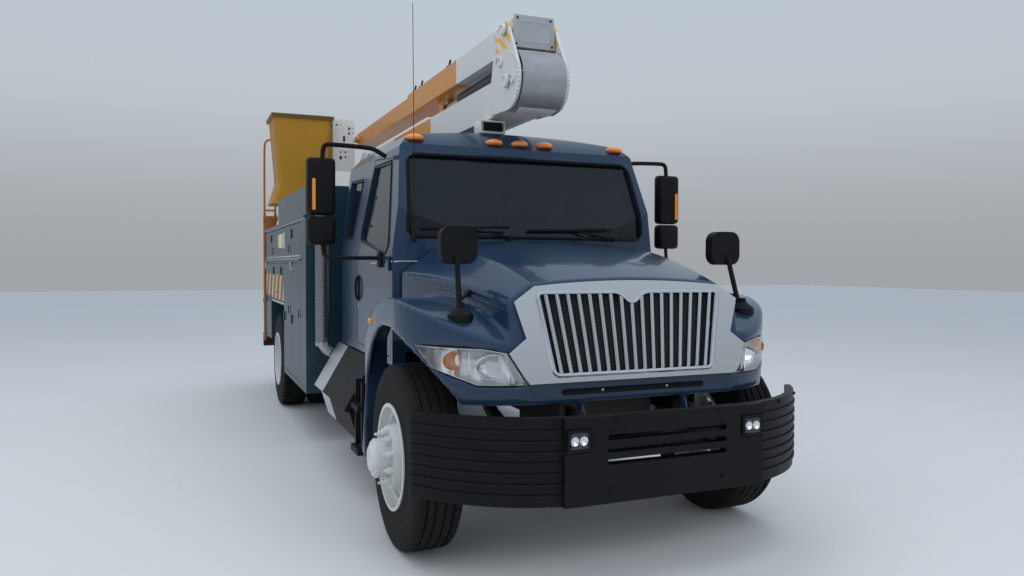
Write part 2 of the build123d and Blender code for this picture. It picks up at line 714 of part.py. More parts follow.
def disc_wheel(x, y, way):
    """A steel wheel: its rim, and a disc dished to one side (way is 1 or -1 along X)."""
    half = tyre_width / 2
    bore = rim_radius - rim_well - rim_wall
    well = rim_radius - rim_well
    lip = rim_radius + rim_flange
    spun([(x - half - rim_lip, lip), (x - half - fit, lip), (x - half - fit, rim_radius),
          (x - half + 50, rim_radius), (x - half + 50, well), (x + half - 50, well),
          (x + half - 50, rim_radius), (x + half + fit, rim_radius), (x + half + fit, lip),
          (x + half + rim_lip, lip), (x + half + rim_lip, rim_radius - rim_wall),
          (x + half - 40, rim_radius - rim_wall), (x + half - 40, bore), (x - half + 40, bore),
          (x - half + 40, rim_radius - rim_wall), (x - half - rim_lip, rim_radius - rim_wall)], y)
    seat = x + way * disc_reach
    back = seat - way * disc_wall
    step = x + way * disc_step
    step_back = step - way * disc_wall
    spun([(step, bore + 5), (step, disc_radius), (seat, disc_radius - 14), (seat, 60),
          (back, 60), (back, disc_radius - 20), (step_back, disc_radius - 6),
          (step_back, bore + 5)], y)
    for k in range(hand_holes):
        angle = 2 * math.pi * (k + 0.5) / hand_holes
        with Locations((x, aft(y) + hand_hole_circle * math.cos(angle),
                        tyre_radius + hand_hole_circle * math.sin(angle))):
            Cylinder(hand_hole_radius, 2 * disc_reach - 20, rotation=(0, 90, 0),
                     mode=Mode.SUBTRACT)


for side, name in ((-1, "right"), (1, "left")):
    front_x = side * front_track / 2
    front_seat = front_x + side * disc_reach
    with BuildPart() as tyre:
        spun(tyre_profile(front_x), 0)
    save(tyre, f"tyre_front_{name}")
    with BuildPart() as wheel:
        disc_wheel(front_x, 0, side)
        bar_x(0, tyre_radius, hub_radius, (front_seat - side * 110, front_seat + side * 75))
        bar_x(0, tyre_radius, spindle_radius + fit,
              (front_seat - side * 120, front_seat + side * 50), mode=Mode.SUBTRACT)
    save(wheel, f"wheel_front_{name}")
    outer_x = side * rear_outer_track / 2
    inner_x = outer_x - side * twin_spacing
    rear_seat = outer_x - side * disc_reach
    with BuildPart() as twin_tyres:
        spun(tyre_profile(outer_x), wheelbase)
        spun(tyre_profile(inner_x), wheelbase)
    save(twin_tyres, f"tyres_rear_{name}")
    with BuildPart() as twin_wheels:
        disc_wheel(outer_x, wheelbase, -side)
        disc_wheel(inner_x, wheelbase, side)
        bar_x(wheelbase, tyre_radius, hub_radius,
              (rear_seat - side * 110, rear_seat + side * 170))
        bar_x(wheelbase, tyre_radius, spindle_radius + fit,
              (rear_seat - side * 120, rear_seat + side * 120), mode=Mode.SUBTRACT)
    save(twin_wheels, f"wheels_rear_{name}")
    with BuildPart() as knuckle:
        block((side * (kingpin_x + 68), side * (kingpin_x + 100)), (-60, 60), (430, 620))
        bar_z(side * kingpin_x, 0, kingpin_radius, (412, 638))
        for z in ((410, 448), (602, 640)):
            block((side * (kingpin_x - 55), side * (kingpin_x + 100)), (-55, 55), z)
        bar_x(0, tyre_radius, spindle_radius,
              (side * (kingpin_x + 70), front_seat + side * 40))
        block((side * (kingpin_x - 30), side * (kingpin_x + 30)), (50, 190), (412, 440))
    save(knuckle, f"knuckle_{name}")

# Service body: a row of lockers down each side, over the rear wheel's arch.
# Each locker: name, front and rear edge, bottom and top, and the edge its door hangs on
lockers = (("front", 3215, 3885, 500, 1625, "front"),
           ("middle", 3901, 4461, 500, 1625, "front"),
           ("wheel", 4477, 5717, 1200, 1625, "bottom"),
           ("rear", 5733, 6305, 740, 1625, "front"),
           ("long", 3215, 6305, 1680, 2005, "bottom"))
lip = 14
arch_front = 4469
arch_rear = 5725
arch_trim = 1165
tail_bottom = 700
inner_x = body_half_width - locker_depth
for side, name in ((-1, "right"), (1, "left")):
    with BuildPart() as body:
        side_slab([(body_front, body_bottom), (arch_front, body_bottom), (arch_front, arch_trim),
                   (arch_rear, arch_trim), (arch_rear, tail_bottom), (body_rear, tail_bottom),
                   (body_rear, body_top), (body_front, body_top)],
                  side * inner_x, side * body_half_width)
        block((side * (inner_x + 60), side * (body_half_width - 2)), (body_front, tier_rear),
              (body_top + 0.3, tier_top))
        block((side * (body_half_width - 10), side * (body_half_width + 20)),
              (body_front, body_rear), (body_top - 22, body_top))
        block((side * (body_half_width - 10), side * (body_half_width + 14)),
              (body_front + 300, body_rear - 20), (1646, 1662))
        for locker, front, rear, low, high, hang in lockers:
            block((side * (inner_x + body_wall), side * (body_half_width + 30)),
                  (front + lip, rear - lip), (low + lip, high - lip), mode=Mode.SUBTRACT)
            block((side * (body_half_width - door_thick - fit), side * (body_half_width + 30)),
                  (front, rear), (low, high), mode=Mode.SUBTRACT)
    save(body, f"body_{name}")
    for locker, front, rear, low, high, hang in lockers:
        with BuildPart() as locker_door:
            block((side * (body_half_width - door_thick), side * body_half_width),
                  (front + door_gap, rear - door_gap), (low + door_gap, high - door_gap))
            spots = {"front": [((rear - 60), (low + high) / 2)],
                     "bottom": [(front + 0.2 * (rear - front), high - 90),
                                (rear - 0.2 * (rear - front), high - 90)]}[hang]
            for y, z in spots:
                block((side * (body_half_width - 1), side * (body_half_width + 12)),
                      (y - 22, y + 22), (z - 45, z + 45))
        save(locker_door, f"locker_{locker}_{name}")

# Deck between the lockers: floor, front wall, tail shelf, tail bumper and the boom's rest
shelf_rear = overall_length - front_overhang
ladder_x = (-1090, -1225)
ladder_y = 6450
hitch_z = 610
hitch_spacing_x = 85.7
hitch_spacing_z = 44.5
hitch_hole_radius = 6.75
rest_y = 3050
rest_top = boom_bottom - 5
pedestal_half = 330
with BuildPart() as body_deck:
    block((-inner_x + 0.3, inner_x - 0.3), (body_front, body_rear), (deck_z, deck_z + deck_plate))
    block((-pedestal_half - 6, pedestal_half + 6),
          (slew_y - pedestal_half - 6, slew_y + pedestal_half + 6),
          (deck_z - 5, deck_z + deck_plate + 5), mode=Mode.SUBTRACT)
    block((-inner_x + 0.3, inner_x - 0.3), (body_front, body_front + 25), (deck_z, body_top))
    block((-body_half_width, body_half_width), (body_rear + 0.3, shelf_rear),
          (deck_z - 30, deck_z + deck_plate))
    block((-inner_x + 0.3, inner_x - 0.3), (body_rear - 5, body_rear + 5),
          (deck_z - 30, deck_z + deck_plate))
    block((-body_half_width, body_half_width), (shelf_rear - 60, shelf_rear), (520, 700))
    for side in (-1, 1):
        block((side * (rail_x + 0.3), side * (rail_x + 60)), (body_rear + 60, shelf_rear - 60),
              (560, deck_z - 30))
        block((side * (rail_x + 0.3), side * (rail_x + 60)), (shelf_rear - 90, shelf_rear - 30),
              (560, deck_z - 30))
        block((side * (rail_x - rail_flange), side * (rail_x - 1)), (body_front, body_rear),
              (frame_top + 0.0, deck_z))
        block((side * 60, side * 110), (rest_y - 40, rest_y + 40), (deck_z, rest_top - 60))
    block((-190, 190), (rest_y - 45, rest_y + 45), (rest_top - 60, rest_top))
    block((-110, 110), (rest_y - 40, rest_y + 40), (1800, 1860))
    block((ladder_x[1] - 40, ladder_x[0] + 30), (body_rear, ladder_y + 30),
          (deck_z - 40, deck_z + deck_plate + 10), mode=Mode.SUBTRACT)
    for x in (-hitch_spacing_x / 2, hitch_spacing_x / 2):
        for z in (hitch_z - hitch_spacing_z / 2, hitch_z + hitch_spacing_z / 2):
            bar_y(x, z, hitch_hole_radius, (shelf_rear - 65, shelf_rear + 5), mode=Mode.SUBTRACT)
save(body_deck, "body_deck")

# Access ladder at the right rear corner
ladder_top = 2270
with BuildPart() as ladder:
    for x in ladder_x:
        rod((x, ladder_y, 620), (x, ladder_y, ladder_top), 17)
    for k in range(6):
        z = 660 + k * 300
        block((ladder_x[1], ladder_x[0]), (ladder_y - 14, ladder_y + 14), (z, z + 22))
    block((ladder_x[1] - 20, ladder_x[0] + 20), (body_rear + 0.3, ladder_y + 10), (2170, 2230))
    block((ladder_x[1] + 10, ladder_x[0] - 10), (body_rear + 0.3, body_rear + 30), (1980, 2230))
    for z in (960, 1860):
        block((ladder_x[1] + 30, ladder_x[0] - 30), (body_rear + 0.3, ladder_y), (z, z + 22))
save(ladder, "ladder")

# Pedestal: a box column from the frame through the deck, with the slewing ring on top
ring_z = 2000
ring_radius = 370
with BuildPart() as pedestal:
    block((-pedestal_half, pedestal_half), (slew_y - pedestal_half, slew_y + pedestal_half),
          (frame_top - rail_wall + 0.3, ring_z - 50))
    bar_z(0, slew_y, ring_radius, (ring_z - 50, ring_z))
save(pedestal, "pedestal")

# Turret: a turntable with two cheek plates that carry the lower boom and its cylinder
cheek_x = lower_half_width + cheek_gap
link_x = (cheek_x + cheek + 6, cheek_x + cheek + 22)
link_pin = 20
lift_base = (4950, 2280)
lift_eye = (3600, 2648)
pin_radius = 24
cylinder_radius = 58
rod_radius = 32
with BuildPart() as turret:
    bar_z(0, slew_y, ring_radius - 10, (ring_z + fit, ring_z + 60))
    for side in (-1, 1):
        side_slab([(4860, ring_z + 50), (5480, ring_z + 50), (5600, 2600), (5600, 2760),
                   (5330, 2960), (5120, 2960), (5020, 2600), (4880, 2340)],
                  side * cheek_x, side * (cheek_x + cheek))
    bar_x(lower_pivot, pivot_height, pin_radius, (-cheek_x - cheek - 12, cheek_x + 10))
    bar_x(lower_pivot + link_dy, pivot_height + link_dz, link_pin, (cheek_x, link_x[1] + 6))
    bar_x(*lift_base, pin_radius, (-cheek_x - cheek - 12, cheek_x + cheek + 12))
    block((-cheek_x, cheek_x), (5380, 5420), (ring_z + 50, 2500))
save(turret, "turret")

# Lower boom: a box section from the turret to the elbow, orange in its middle length, with a
# rolled cover on its tip that turns about the elbow's pin
boom_tip = elbow_pivot - 95
cover_radius = 212
cover_sheet = 8
cover_half = cheek_x - 8
with BuildPart() as lower_boom:
    side_slab([(boom_tip, boom_bottom + 60), (boom_tip + 90, boom_bottom),
               (lower_pivot + 60, boom_bottom),
               (lower_pivot + 120, boom_bottom + 80), (lower_pivot + 120, pivot_height + 60),
               (lower_pivot + 60, boom_bottom + lower_height),
               (boom_tip + 90, boom_bottom + lower_height), (boom_tip, boom_bottom + 200)],
              -lower_half_width, lower_half_width)
    with BuildSketch(Plane.YZ.offset(-cover_half)) as cover:
        with Locations((aft(elbow_pivot), pivot_height)):
            Circle(cover_radius)
            Circle(cover_radius - cover_sheet, mode=Mode.SUBTRACT)
        with BuildLine():
            Polyline((aft(elbow_pivot), pivot_height + 300), (aft(elbow_pivot - 300), 3165),
                     (aft(elbow_pivot - 300), 2560), (aft(elbow_pivot + 110), 2560),
                     (aft(elbow_pivot), pivot_height), close=True)
        make_face(mode=Mode.INTERSECT)
    extrude(cover.sketch, amount=2 * cover_half, dir=(1, 0, 0))
    block((-lower_half_width, lower_half_width), (elbow_pivot, elbow_pivot + 85),
          (pivot_height - cover_radius + cover_sheet, boom_bottom + 1))
    for y in (lower_pivot, elbow_pivot):
        bar_x(y, pivot_height, pin_radius + fit, (-lower_half_width - 5, lower_half_width + 5),
              mode=Mode.SUBTRACT)
    for side in (-1, 1):
        side_slab([(lift_eye[0] - 80, boom_bottom + 1), (lift_eye[0] - 40, lift_eye[1] - 45),
                   (lift_eye[0] + 40, lift_eye[1] - 45), (lift_eye[0] + 80, boom_bottom + 1)],
                  side * 42, side * 60)
save(lower_boom, "lower_boom")

# Levelling link: the parallelogram's second bar, which keeps the elbow upright
link_front = (elbow_pivot + link_dy, pivot_height + link_dz)
link_rear = (lower_pivot + link_dy, pivot_height + link_dz)
with BuildPart() as levelling_link:
    block(link_x, (link_front[0], link_rear[0]), (link_front[1] - 25, link_front[1] + 25))
    for y, z in (link_front, link_rear):
        bar_x(y, z, 42, link_x)
        bar_x(y, z, link_pin + fit, (link_x[0] - 5, link_x[1] + 5), mode=Mode.SUBTRACT)
save(levelling_link, "levelling_link")

# Elbow: two cheek plates kept upright, with the pins of both booms and of the cylinder.
# Each plate is drawn tight round its four pins: (distance aft, z, radius)
elbow_base = (870, 3055)
link_eye = (elbow_pivot + link_dy, pivot_height + link_dz)
cheek_rounds = ((elbow_pivot, pivot_height, cover_radius - 17), (upper_pivot, upper_pivot_z, 56),
                (*elbow_base, 70), (*link_eye, 48))
with BuildPart() as elbow:
    for side in (-1, 1):
        with BuildSketch(Plane.YZ.offset(side * (cheek_x + cheek / 2))) as plate:
            for y, z, radius in cheek_rounds:
                with Locations((aft(y), z)):
                    Circle(radius)
            make_hull(plate.edges())
        extrude(plate.sketch, amount=cheek / 2, both=True)
    for y, z in ((elbow_pivot, pivot_height), (upper_pivot, upper_pivot_z), elbow_base):
        bar_x(y, z, pin_radius, (-cheek_x - cheek - 14, cheek_x + 10))
    bar_x(*link_eye, link_pin, (cheek_x, link_x[1] + 6))
save(elbow, "elbow")

# Upper boom: the outer box, white by the elbow and orange beyond, hollow for the inner boom
outer_end = 3460
lug_y = 2580
lug_z = 3030
inner_gap = 6
wear_pad = inner_gap - fit
with BuildPart() as upper_boom:
    block((-upper_half_width, upper_half_width), (upper_pivot - 70, outer_end),
          (upper_bottom, upper_bottom + upper_height))
    block((-upper_half_width + boom_wall, upper_half_width - boom_wall),
          (upper_pivot + 120, outer_end + 5),
          (upper_bottom + boom_wall, upper_bottom + upper_height - boom_wall), mode=Mode.SUBTRACT)
    bar_x(upper_pivot, upper_pivot_z, pin_radius + fit, (-200, 200), mode=Mode.SUBTRACT)
    for z in (upper_bottom + boom_wall, upper_bottom + upper_height - boom_wall - wear_pad):
        block((-70, 70), (outer_end - 120, outer_end), (z, z + wear_pad))
    for side in (-1, 1):
        side_slab([(lug_y - 80, upper_bottom + 1), (lug_y - 35, lug_z - 40),
                   (lug_y + 35, lug_z - 40), (lug_y + 80, upper_bottom + 1)],
                  side * 40, side * 56)
save(upper_boom, "upper_boom")

# Inner boom: it slides out of the outer box, and carries the platform's shaft at its tip
inner_end = 5980
inner_start = 1000
inner_half = upper_half_width - boom_wall - inner_gap
inner_low = upper_bottom + boom_wall + inner_gap
inner_high = upper_bottom + upper_height - boom_wall - inner_gap
shaft_y = 5850
shaft_z = upper_bottom + upper_height / 2
shaft_radius = 45
with BuildPart() as inner_boom:
    block((-inner_half, inner_half), (inner_start, inner_end), (inner_low, inner_high))
    block((-inner_half + boom_wall, inner_half - boom_wall), (inner_start - 5, inner_end - 300),
          (inner_low + boom_wall, inner_high - boom_wall), mode=Mode.SUBTRACT)
    for z in (inner_low - wear_pad, inner_high):
        block((-70, 70), (inner_start, inner_start + 120), (z, z + wear_pad))
    bar_x(shaft_y, shaft_z, shaft_radius, (-inner_half - 95, inner_half))
save(inner_boom, "inner_boom")

# Platform bracket: the upright plate beside the boom's tip, which stays level
with BuildPart() as platform_bracket:
    block((-460, -180), (shaft_y - 60, shaft_y - 40), (2790, 3440))
    block((-200, -180), (shaft_y - 60, shaft_y + 90), (2790, 3440))
    block((-460, -440), (shaft_y - 60, shaft_y + 90), (2790, 3440))
    bar_x(shaft_y, shaft_z, shaft_radius + 30, (-180, -200))
    bar_x(shaft_y, shaft_z, shaft_radius + fit, (-230, -170), mode=Mode.SUBTRACT)
save(platform_bracket, "platform_bracket")

# Bucket: a tapered tub with a rolled rim and a flared foot
bucket_x = (-1200, -500)
bucket_y = (5600, 6200)
bucket_top = 3430
bucket_waist = 2620
bucket_bottom = 2345
bucket_wall = 14


def tub(inset, lift):
    """The bucket's form, flared at its foot and at its rim, moved in by the inset."""
    cx = (bucket_x[0] + bucket_x[1]) / 2
    cy = aft((bucket_y[0] + bucket_y[1]) / 2)
    width = bucket_x[1] - bucket_x[0]
    depth = bucket_y[1] - bucket_y[0]
    # z, shift to the right, width, depth
    sections = ((bucket_bottom + inset, -20, width, depth - 60),
                (bucket_waist, 0, width - 130, depth - 60),
                (bucket_top + lift, 0, width, depth))
    with BuildPart() as body:
        for z, shift, wide, deep in sections:
            with BuildSketch(Plane.XY.offset(z)):
                with Locations((cx + shift, cy)):
                    RectangleRounded(wide - 2 * inset, deep - 2 * inset, 60 - inset)
        loft(ruled=True)
    return body.part


tub_outside = tub(0, 0)
tub_room = tub(bucket_wall, 1)
with BuildPart() as bucket:
    add(tub_outside)
    with Locations(((bucket_x[0] + bucket_x[1]) / 2, aft((bucket_y[0] + bucket_y[1]) / 2),
                    bucket_top - 22)):
        Box(bucket_x[1] - bucket_x[0] + 40, bucket_y[1] - bucket_y[0] + 40, 44)
    block((-500 - 60, -460.3), (shaft_y - 50, shaft_y + 80), (2860, 3300))
    add(tub_room, mode=Mode.SUBTRACT)
save(bucket, "bucket")


# Cylinders: each a barrel on its base pin and a rod that runs out of it to an eye
def cylinder_pair(base, eye, radius, piston, barrel_length, names):
    """A barrel and its rod, lying from the base pin to the eye at rest."""
    length = math.hypot(eye[0] - base[0], eye[1] - base[1])
    dy = (eye[0] - base[0]) / length
    dz = (eye[1] - base[1]) / length

    def at(distance):
        return (0, base[0] + dy * distance, base[1] + dz * distance)

    bore = piston + 0.6
    with BuildPart() as barrel:
        rod(at(0), at(barrel_length), radius)
        bar_x(*base, radius - 6, (-38, 38))
        rod(at(90), at(barrel_length + 1), bore, mode=Mode.SUBTRACT)
        bar_x(*base, pin_radius + fit, (-60, 60), mode=Mode.SUBTRACT)
    save(barrel, names[0])
    with BuildPart() as ram:
        rod(at(130), at(length - 20), piston)
        bar_x(*eye, piston + 6, (-30, 30))
    save(ram, names[1])


cylinder_pair(lift_base, lift_eye, cylinder_radius, rod_radius, 1080,
              ("lift_barrel", "lift_rod"))
cylinder_pair(elbow_base, (lug_y, lug_z), 50, 30, 1280, ("elbow_barrel", "elbow_rod"))
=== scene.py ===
# %% [markdown]
# # A bucket truck, dressed in Blender
# The truck's solids come from CAD and are already in their places. This lesson gives each of
# them a real finish, and adds what CAD leaves out: tyre tread, wheel nuts, seals, wipers, lamps,
# handles and bolts. All sizes are metres, with +X to the truck's left, -Y to its front.

# %% The frame
import json
import math

import bmesh
import bpy
from mathutils import Matrix, Vector
from mathutils.bvhtree import BVHTree

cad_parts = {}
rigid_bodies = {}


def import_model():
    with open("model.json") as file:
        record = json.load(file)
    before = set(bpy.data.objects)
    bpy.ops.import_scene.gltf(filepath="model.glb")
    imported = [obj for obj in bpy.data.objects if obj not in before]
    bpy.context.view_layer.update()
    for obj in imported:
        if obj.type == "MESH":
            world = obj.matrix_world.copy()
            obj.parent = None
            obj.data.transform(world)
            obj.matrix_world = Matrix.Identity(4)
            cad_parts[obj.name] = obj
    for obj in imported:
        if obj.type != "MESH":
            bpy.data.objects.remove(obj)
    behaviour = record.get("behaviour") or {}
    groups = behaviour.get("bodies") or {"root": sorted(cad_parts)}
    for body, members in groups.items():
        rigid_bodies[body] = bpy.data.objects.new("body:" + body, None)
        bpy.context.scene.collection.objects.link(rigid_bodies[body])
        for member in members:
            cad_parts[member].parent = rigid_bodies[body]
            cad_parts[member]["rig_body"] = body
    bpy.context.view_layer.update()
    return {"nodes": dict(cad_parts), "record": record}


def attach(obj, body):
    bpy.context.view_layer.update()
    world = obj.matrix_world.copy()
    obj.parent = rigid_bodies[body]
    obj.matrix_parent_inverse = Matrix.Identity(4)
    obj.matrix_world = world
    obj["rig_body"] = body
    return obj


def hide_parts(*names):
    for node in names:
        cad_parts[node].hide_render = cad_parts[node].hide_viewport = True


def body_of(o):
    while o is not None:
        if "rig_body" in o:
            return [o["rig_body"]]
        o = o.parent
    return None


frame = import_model()
nodes = frame["nodes"]
front_axle_y = -2.87
rear_axle = 5.08
axle_height = 0.525
body_side = 1.2195
hands = ((-1, "right"), (1, "left"))
forward = (0, -1, 0)
upward = (0, 0, 1)
print("CAD nodes:", len(nodes))


def aft(distance):
    """The Y of a place so many metres behind the front axle."""
    return front_axle_y + distance


def at(x, distance, z):
    """A place that is so many metres behind the front axle."""
    return Vector((x, aft(distance), z))


# %% [markdown]
# ## Camera
# The camera's place, turn and focal length were measured on the photo's straight edges. It
# stands a little to the truck's right, at a person's eye height.

# %% Camera
camera_data = bpy.data.cameras.new("camera")
camera_data.sensor_width = 36
camera_data.lens = 28.08
camera_data.shift_y = -0.0014
camera_data.clip_end = 200
camera = bpy.data.objects.new("camera", camera_data)
scene = bpy.context.scene
scene.collection.objects.link(camera)
camera.location = (-2.274, -7.277, 1.613)
pitch, roll, yaw = (math.radians(v) for v in (-1.581, 0.141, -22.711))
upright = Matrix.Rotation(yaw, 3, "Z") @ Matrix.Rotation(math.pi / 2 + pitch, 3, "X")
camera.rotation_euler = (upright @ Matrix.Rotation(roll, 3, "Z")).to_euler()
scene.camera = camera
print("camera at", [round(v, 3) for v in camera.location])

# %% [markdown]
# ## Light
# The sky of the photo is overcast, so the light is broad and soft: a large lamp above, weaker
# ones at the side and in front, and a world that is pale overhead and greyer at the horizon, so
# that chrome and clear coat have something to mirror.

# %% Light
scene.view_settings.view_transform = "Standard"
world = bpy.data.worlds.new("overcast")
scene.world = world
world.use_nodes = True
tree = world.node_tree
sky = tree.nodes["Background"]
sky.inputs["Strength"].default_value = 0.8
direction = tree.nodes.new("ShaderNodeTexCoord")
height = tree.nodes.new("ShaderNodeSeparateXYZ")
shades = tree.nodes.new("ShaderNodeValToRGB")
tree.links.new(direction.outputs["Generated"], height.inputs[0])
tree.links.new(height.outputs["Z"], shades.inputs[0])
tree.links.new(shades.outputs[0], sky.inputs["Color"])
stops = ((0, (0.45, 0.47, 0.49)), (0.07, (0.49, 0.52, 0.55)), (0.2, (0.64, 0.7, 0.76)),
         (0.45, (0.64, 0.74, 0.86)), (1, (0.78, 0.88, 1.0)))
for element, (place, shade) in zip(shades.color_ramp.elements, (stops[0], stops[-1])):
    element.position, element.color = place, (*shade, 1)
for place, shade in stops[1:-1]:
    shades.color_ramp.elements.new(place).color = (*shade, 1)
for name, place, turn, size, power in (("above", (-1, -2, 11), (0, 0, 0), 12, 470),
                                       ("right", (-9, -6, 6), (55, 0, -55), 8, 150),
                                       ("front", (3, -13, 5), (68, 0, 12), 7, 170)):
    bpy.ops.object.light_add(type="AREA", location=place,
                             rotation=[math.radians(a) for a in turn])
    lamp = bpy.context.object
    lamp.name = "light_" + name
    lamp.data.size = size
    lamp.data.energy = power
    lamp.visible_glossy = False

# %% [markdown]
# ## Writing shader maths as Python
# A finish is built from nodes, but sums read better as Python. `Wire` wraps a node's output,
# so that `1 - mask * 0.5` adds the Math nodes by itself. `Finish` makes one material, hands out
# such wires, and knows the record's material slot that it fills.


# %% Wire
def feed(tree, place, value):
    """Link a wire to a socket, or write a plain number or colour on it."""
    if isinstance(value, Wire):
        tree.links.new(value.socket, place)
    else:
        place.default_value = (*value, 1.0) if place.type == "RGBA" else value


class Wire:
    """One output socket of a node, which takes part in Python sums."""

    def __init__(self, tree, socket):
        self.tree, self.socket = tree, socket

    def sum(self, operation, *values):
        node = self.tree.nodes.new("ShaderNodeMath")
        node.operation = operation
        for place, value in zip(node.inputs, values):
            feed(self.tree, place, value)
        return Wire(self.tree, node.outputs[0])

    def __add__(self, other):
        return self.sum("ADD", self, other)

    def __radd__(self, other):
        return self.sum("ADD", other, self)

    def __sub__(self, other):
        return self.sum("SUBTRACT", self, other)

    def __rsub__(self, other):
        return self.sum("SUBTRACT", other, self)

    def __mul__(self, other):
        return self.sum("MULTIPLY", self, other)

    def __gt__(self, other):
        return self.sum("GREATER_THAN", self, other)

    def __lt__(self, other):
        return self.sum("LESS_THAN", self, other)

    def __abs__(self):
        return self.sum("ABSOLUTE", self)

    def wave(self, length):
        """A saw tooth from 0 to 1 along this value."""
        return self.sum("FRACT", self * (1 / length))

    def clamp(self):
        return self.sum("MINIMUM", self.sum("MAXIMUM", self, 0.0), 1.0)


# %% Finish
class Finish:
    """A material whose colour, gloss and bump are worked out from the place on the truck."""

    def __init__(self, name, slot=None, **plain):
        self.slot = slot or name
        self.material = bpy.data.materials.new(name)
        self.material.use_nodes = True
        self.tree = self.material.node_tree
        self.shader = self.tree.nodes["Principled BSDF"]
        for socket, value in plain.items():
            self.set(socket.replace("_", " "), value)

    def set(self, socket, value):
        feed(self.tree, self.shader.inputs[socket], value)

    def node(self, kind, **sockets):
        made = self.tree.nodes.new("ShaderNode" + kind)
        for socket, value in sockets.items():
            feed(self.tree, made.inputs[socket], value)
        return made

    def place(self):
        """X, Y and Z of the point on the truck, in metres."""
        where = Wire(self.tree, self.node("TexCoord").outputs["Object"])
        split = self.node("SeparateXYZ", Vector=where)
        return [Wire(self.tree, out) for out in split.outputs]

    def noise(self, scale, detail=3.0, rough=0.5, stretch=None):
        """Soft clouds between 0 and 1; stretch gives them another scale along each axis."""
        where = Wire(self.tree, self.node("TexCoord").outputs["Object"])
        if stretch:
            scaled = self.node("VectorMath", Vector=where)
            scaled.operation = "MULTIPLY"
            scaled.inputs[1].default_value = stretch
            where = Wire(self.tree, scaled.outputs[0])
        made = self.node("TexNoise", Vector=where, Scale=scale, Detail=detail, Roughness=rough)
        return Wire(self.tree, made.outputs["Fac"])

    def mix(self, share, first, second):
        """One colour where share is 0, the other where it is 1."""
        made = self.node("Mix")
        made.data_type = "RGBA"
        for k, value in ((0, share), (6, first), (7, second)):
            feed(self.tree, made.inputs[k], value)
        return Wire(self.tree, made.outputs[2])

    def tint(self, share, colour):
        """Lay another colour over what the finish has, where share is 1."""
        below = Wire(self.tree, self.shader.inputs["Base Color"].links[0].from_socket)
        self.set("Base Color", self.mix(share, below, colour))

    def bump(self, height, strength, distance):
        made = self.node("Bump", Height=height, Strength=strength, Distance=distance)
        self.set("Normal", Wire(self.tree, made.outputs["Normal"]))


# %% [markdown]
# ## Paints
# The cab wears a deep navy under clear coat, and the service body a greener teal-blue. Both
# are a little duller low down, where road dust settles. The booms are white with one long
# orange stretch each. Stripes, colour changes and dust are masks made from X, Y and Z, because
# a mask stays sharp at any distance and needs no image.


# %% Paints
def paint(name, colour, coat, rough=0.28, slot=None):
    finish = Finish(name, slot, Coat_Roughness=0.06, Specular_IOR_Level=0.3)
    z = finish.place()[2]
    low = (1.15 - z).clamp() * finish.noise(9, 5, 0.6) * 0.22
    shade = finish.mix(finish.noise(1.7) * 0.25, colour, tuple(c * 1.35 for c in colour))
    finish.set("Base Color", finish.mix(low, shade, (0.16, 0.15, 0.13)))
    finish.set("Roughness", rough + low * 0.5 + finish.noise(26, 4) * 0.05)
    finish.set("Coat Weight", coat - low)
    finish.bump(finish.noise(160, 2), 0.02, 0.001)
    return finish


cab_paint = paint("cab_paint", (0.008, 0.03, 0.07), 0.5)
white_paint = paint("white_paint", (0.64, 0.65, 0.64), 0.4, 0.35)
black_paint = paint("black_paint", (0.012, 0.012, 0.013), 0.2, 0.4)
frame_paint = paint("frame_paint", (0.02, 0.02, 0.021), 0.0, 0.6)
ladder_paint = paint("ladder_paint", (0.42, 0.13, 0.03), 0.1, 0.5)

stripe_colour = (0.85, 0.42, 0.05)
body_paint = paint("body_paint", (0.013, 0.04, 0.058), 0.2, 0.35)
x, y, z = body_paint.place()
slant = (y - 1.6 + (z - 1.2) * 0.55).wave(0.36)
panel = (y > aft(4.5)) * (y < aft(6.3)) * (z > 1.21) * (z < 1.49)
body_paint.tint(panel * (slant < 0.45) * (abs(x) > 1.215), stripe_colour)


# %% Boom paint, white and orange by the place along the boom
def boom_paint(name, orange_from, orange_to, striped=False):
    finish = paint(name, (0.62, 0.63, 0.62), 0.2, 0.4, "boom_paint")
    x, y, z = finish.place()
    finish.tint((y > aft(orange_from)) * (y < aft(orange_to)), (0.62, 0.25, 0.035))
    if striped:
        slant = (z - (y - front_axle_y) * 0.74).wave(0.098)
        panel = (y > aft(0.62)) * (y < aft(1.06)) * (slant < 0.5) * (abs(x) > 0.12)
        finish.tint(panel * (z > 3.09), stripe_colour)
    return finish


lower_paint = boom_paint("lower_boom_paint", 2.62, 3.95)
upper_paint = boom_paint("upper_boom_paint", 1.94, 3.5, striped=True)
inner_paint = boom_paint("inner_boom_paint", 0.0, 6.1)
elbow_paint = boom_paint("elbow_paint", 9, 9, striped=True)

# %% The lower boom's end: a rolled cover of bare grey metal, grimy toward its foot
x, y, z = lower_paint.place()
rolled = ((y < aft(0.57)) + (abs(x) > 0.1405) * (y < aft(0.88))).clamp()
grime = ((2.9 - z) * 3.5).clamp() * lower_paint.noise(6, 5, 0.7)
grey = lower_paint.mix(lower_paint.noise(11, 4), (0.3, 0.32, 0.34), (0.42, 0.44, 0.46))
lower_paint.tint(rolled, lower_paint.mix(grime, grey, (0.17, 0.155, 0.12)))
lower_paint.set("Metallic", rolled * 0.45)
print("paints:", len(bpy.data.materials))
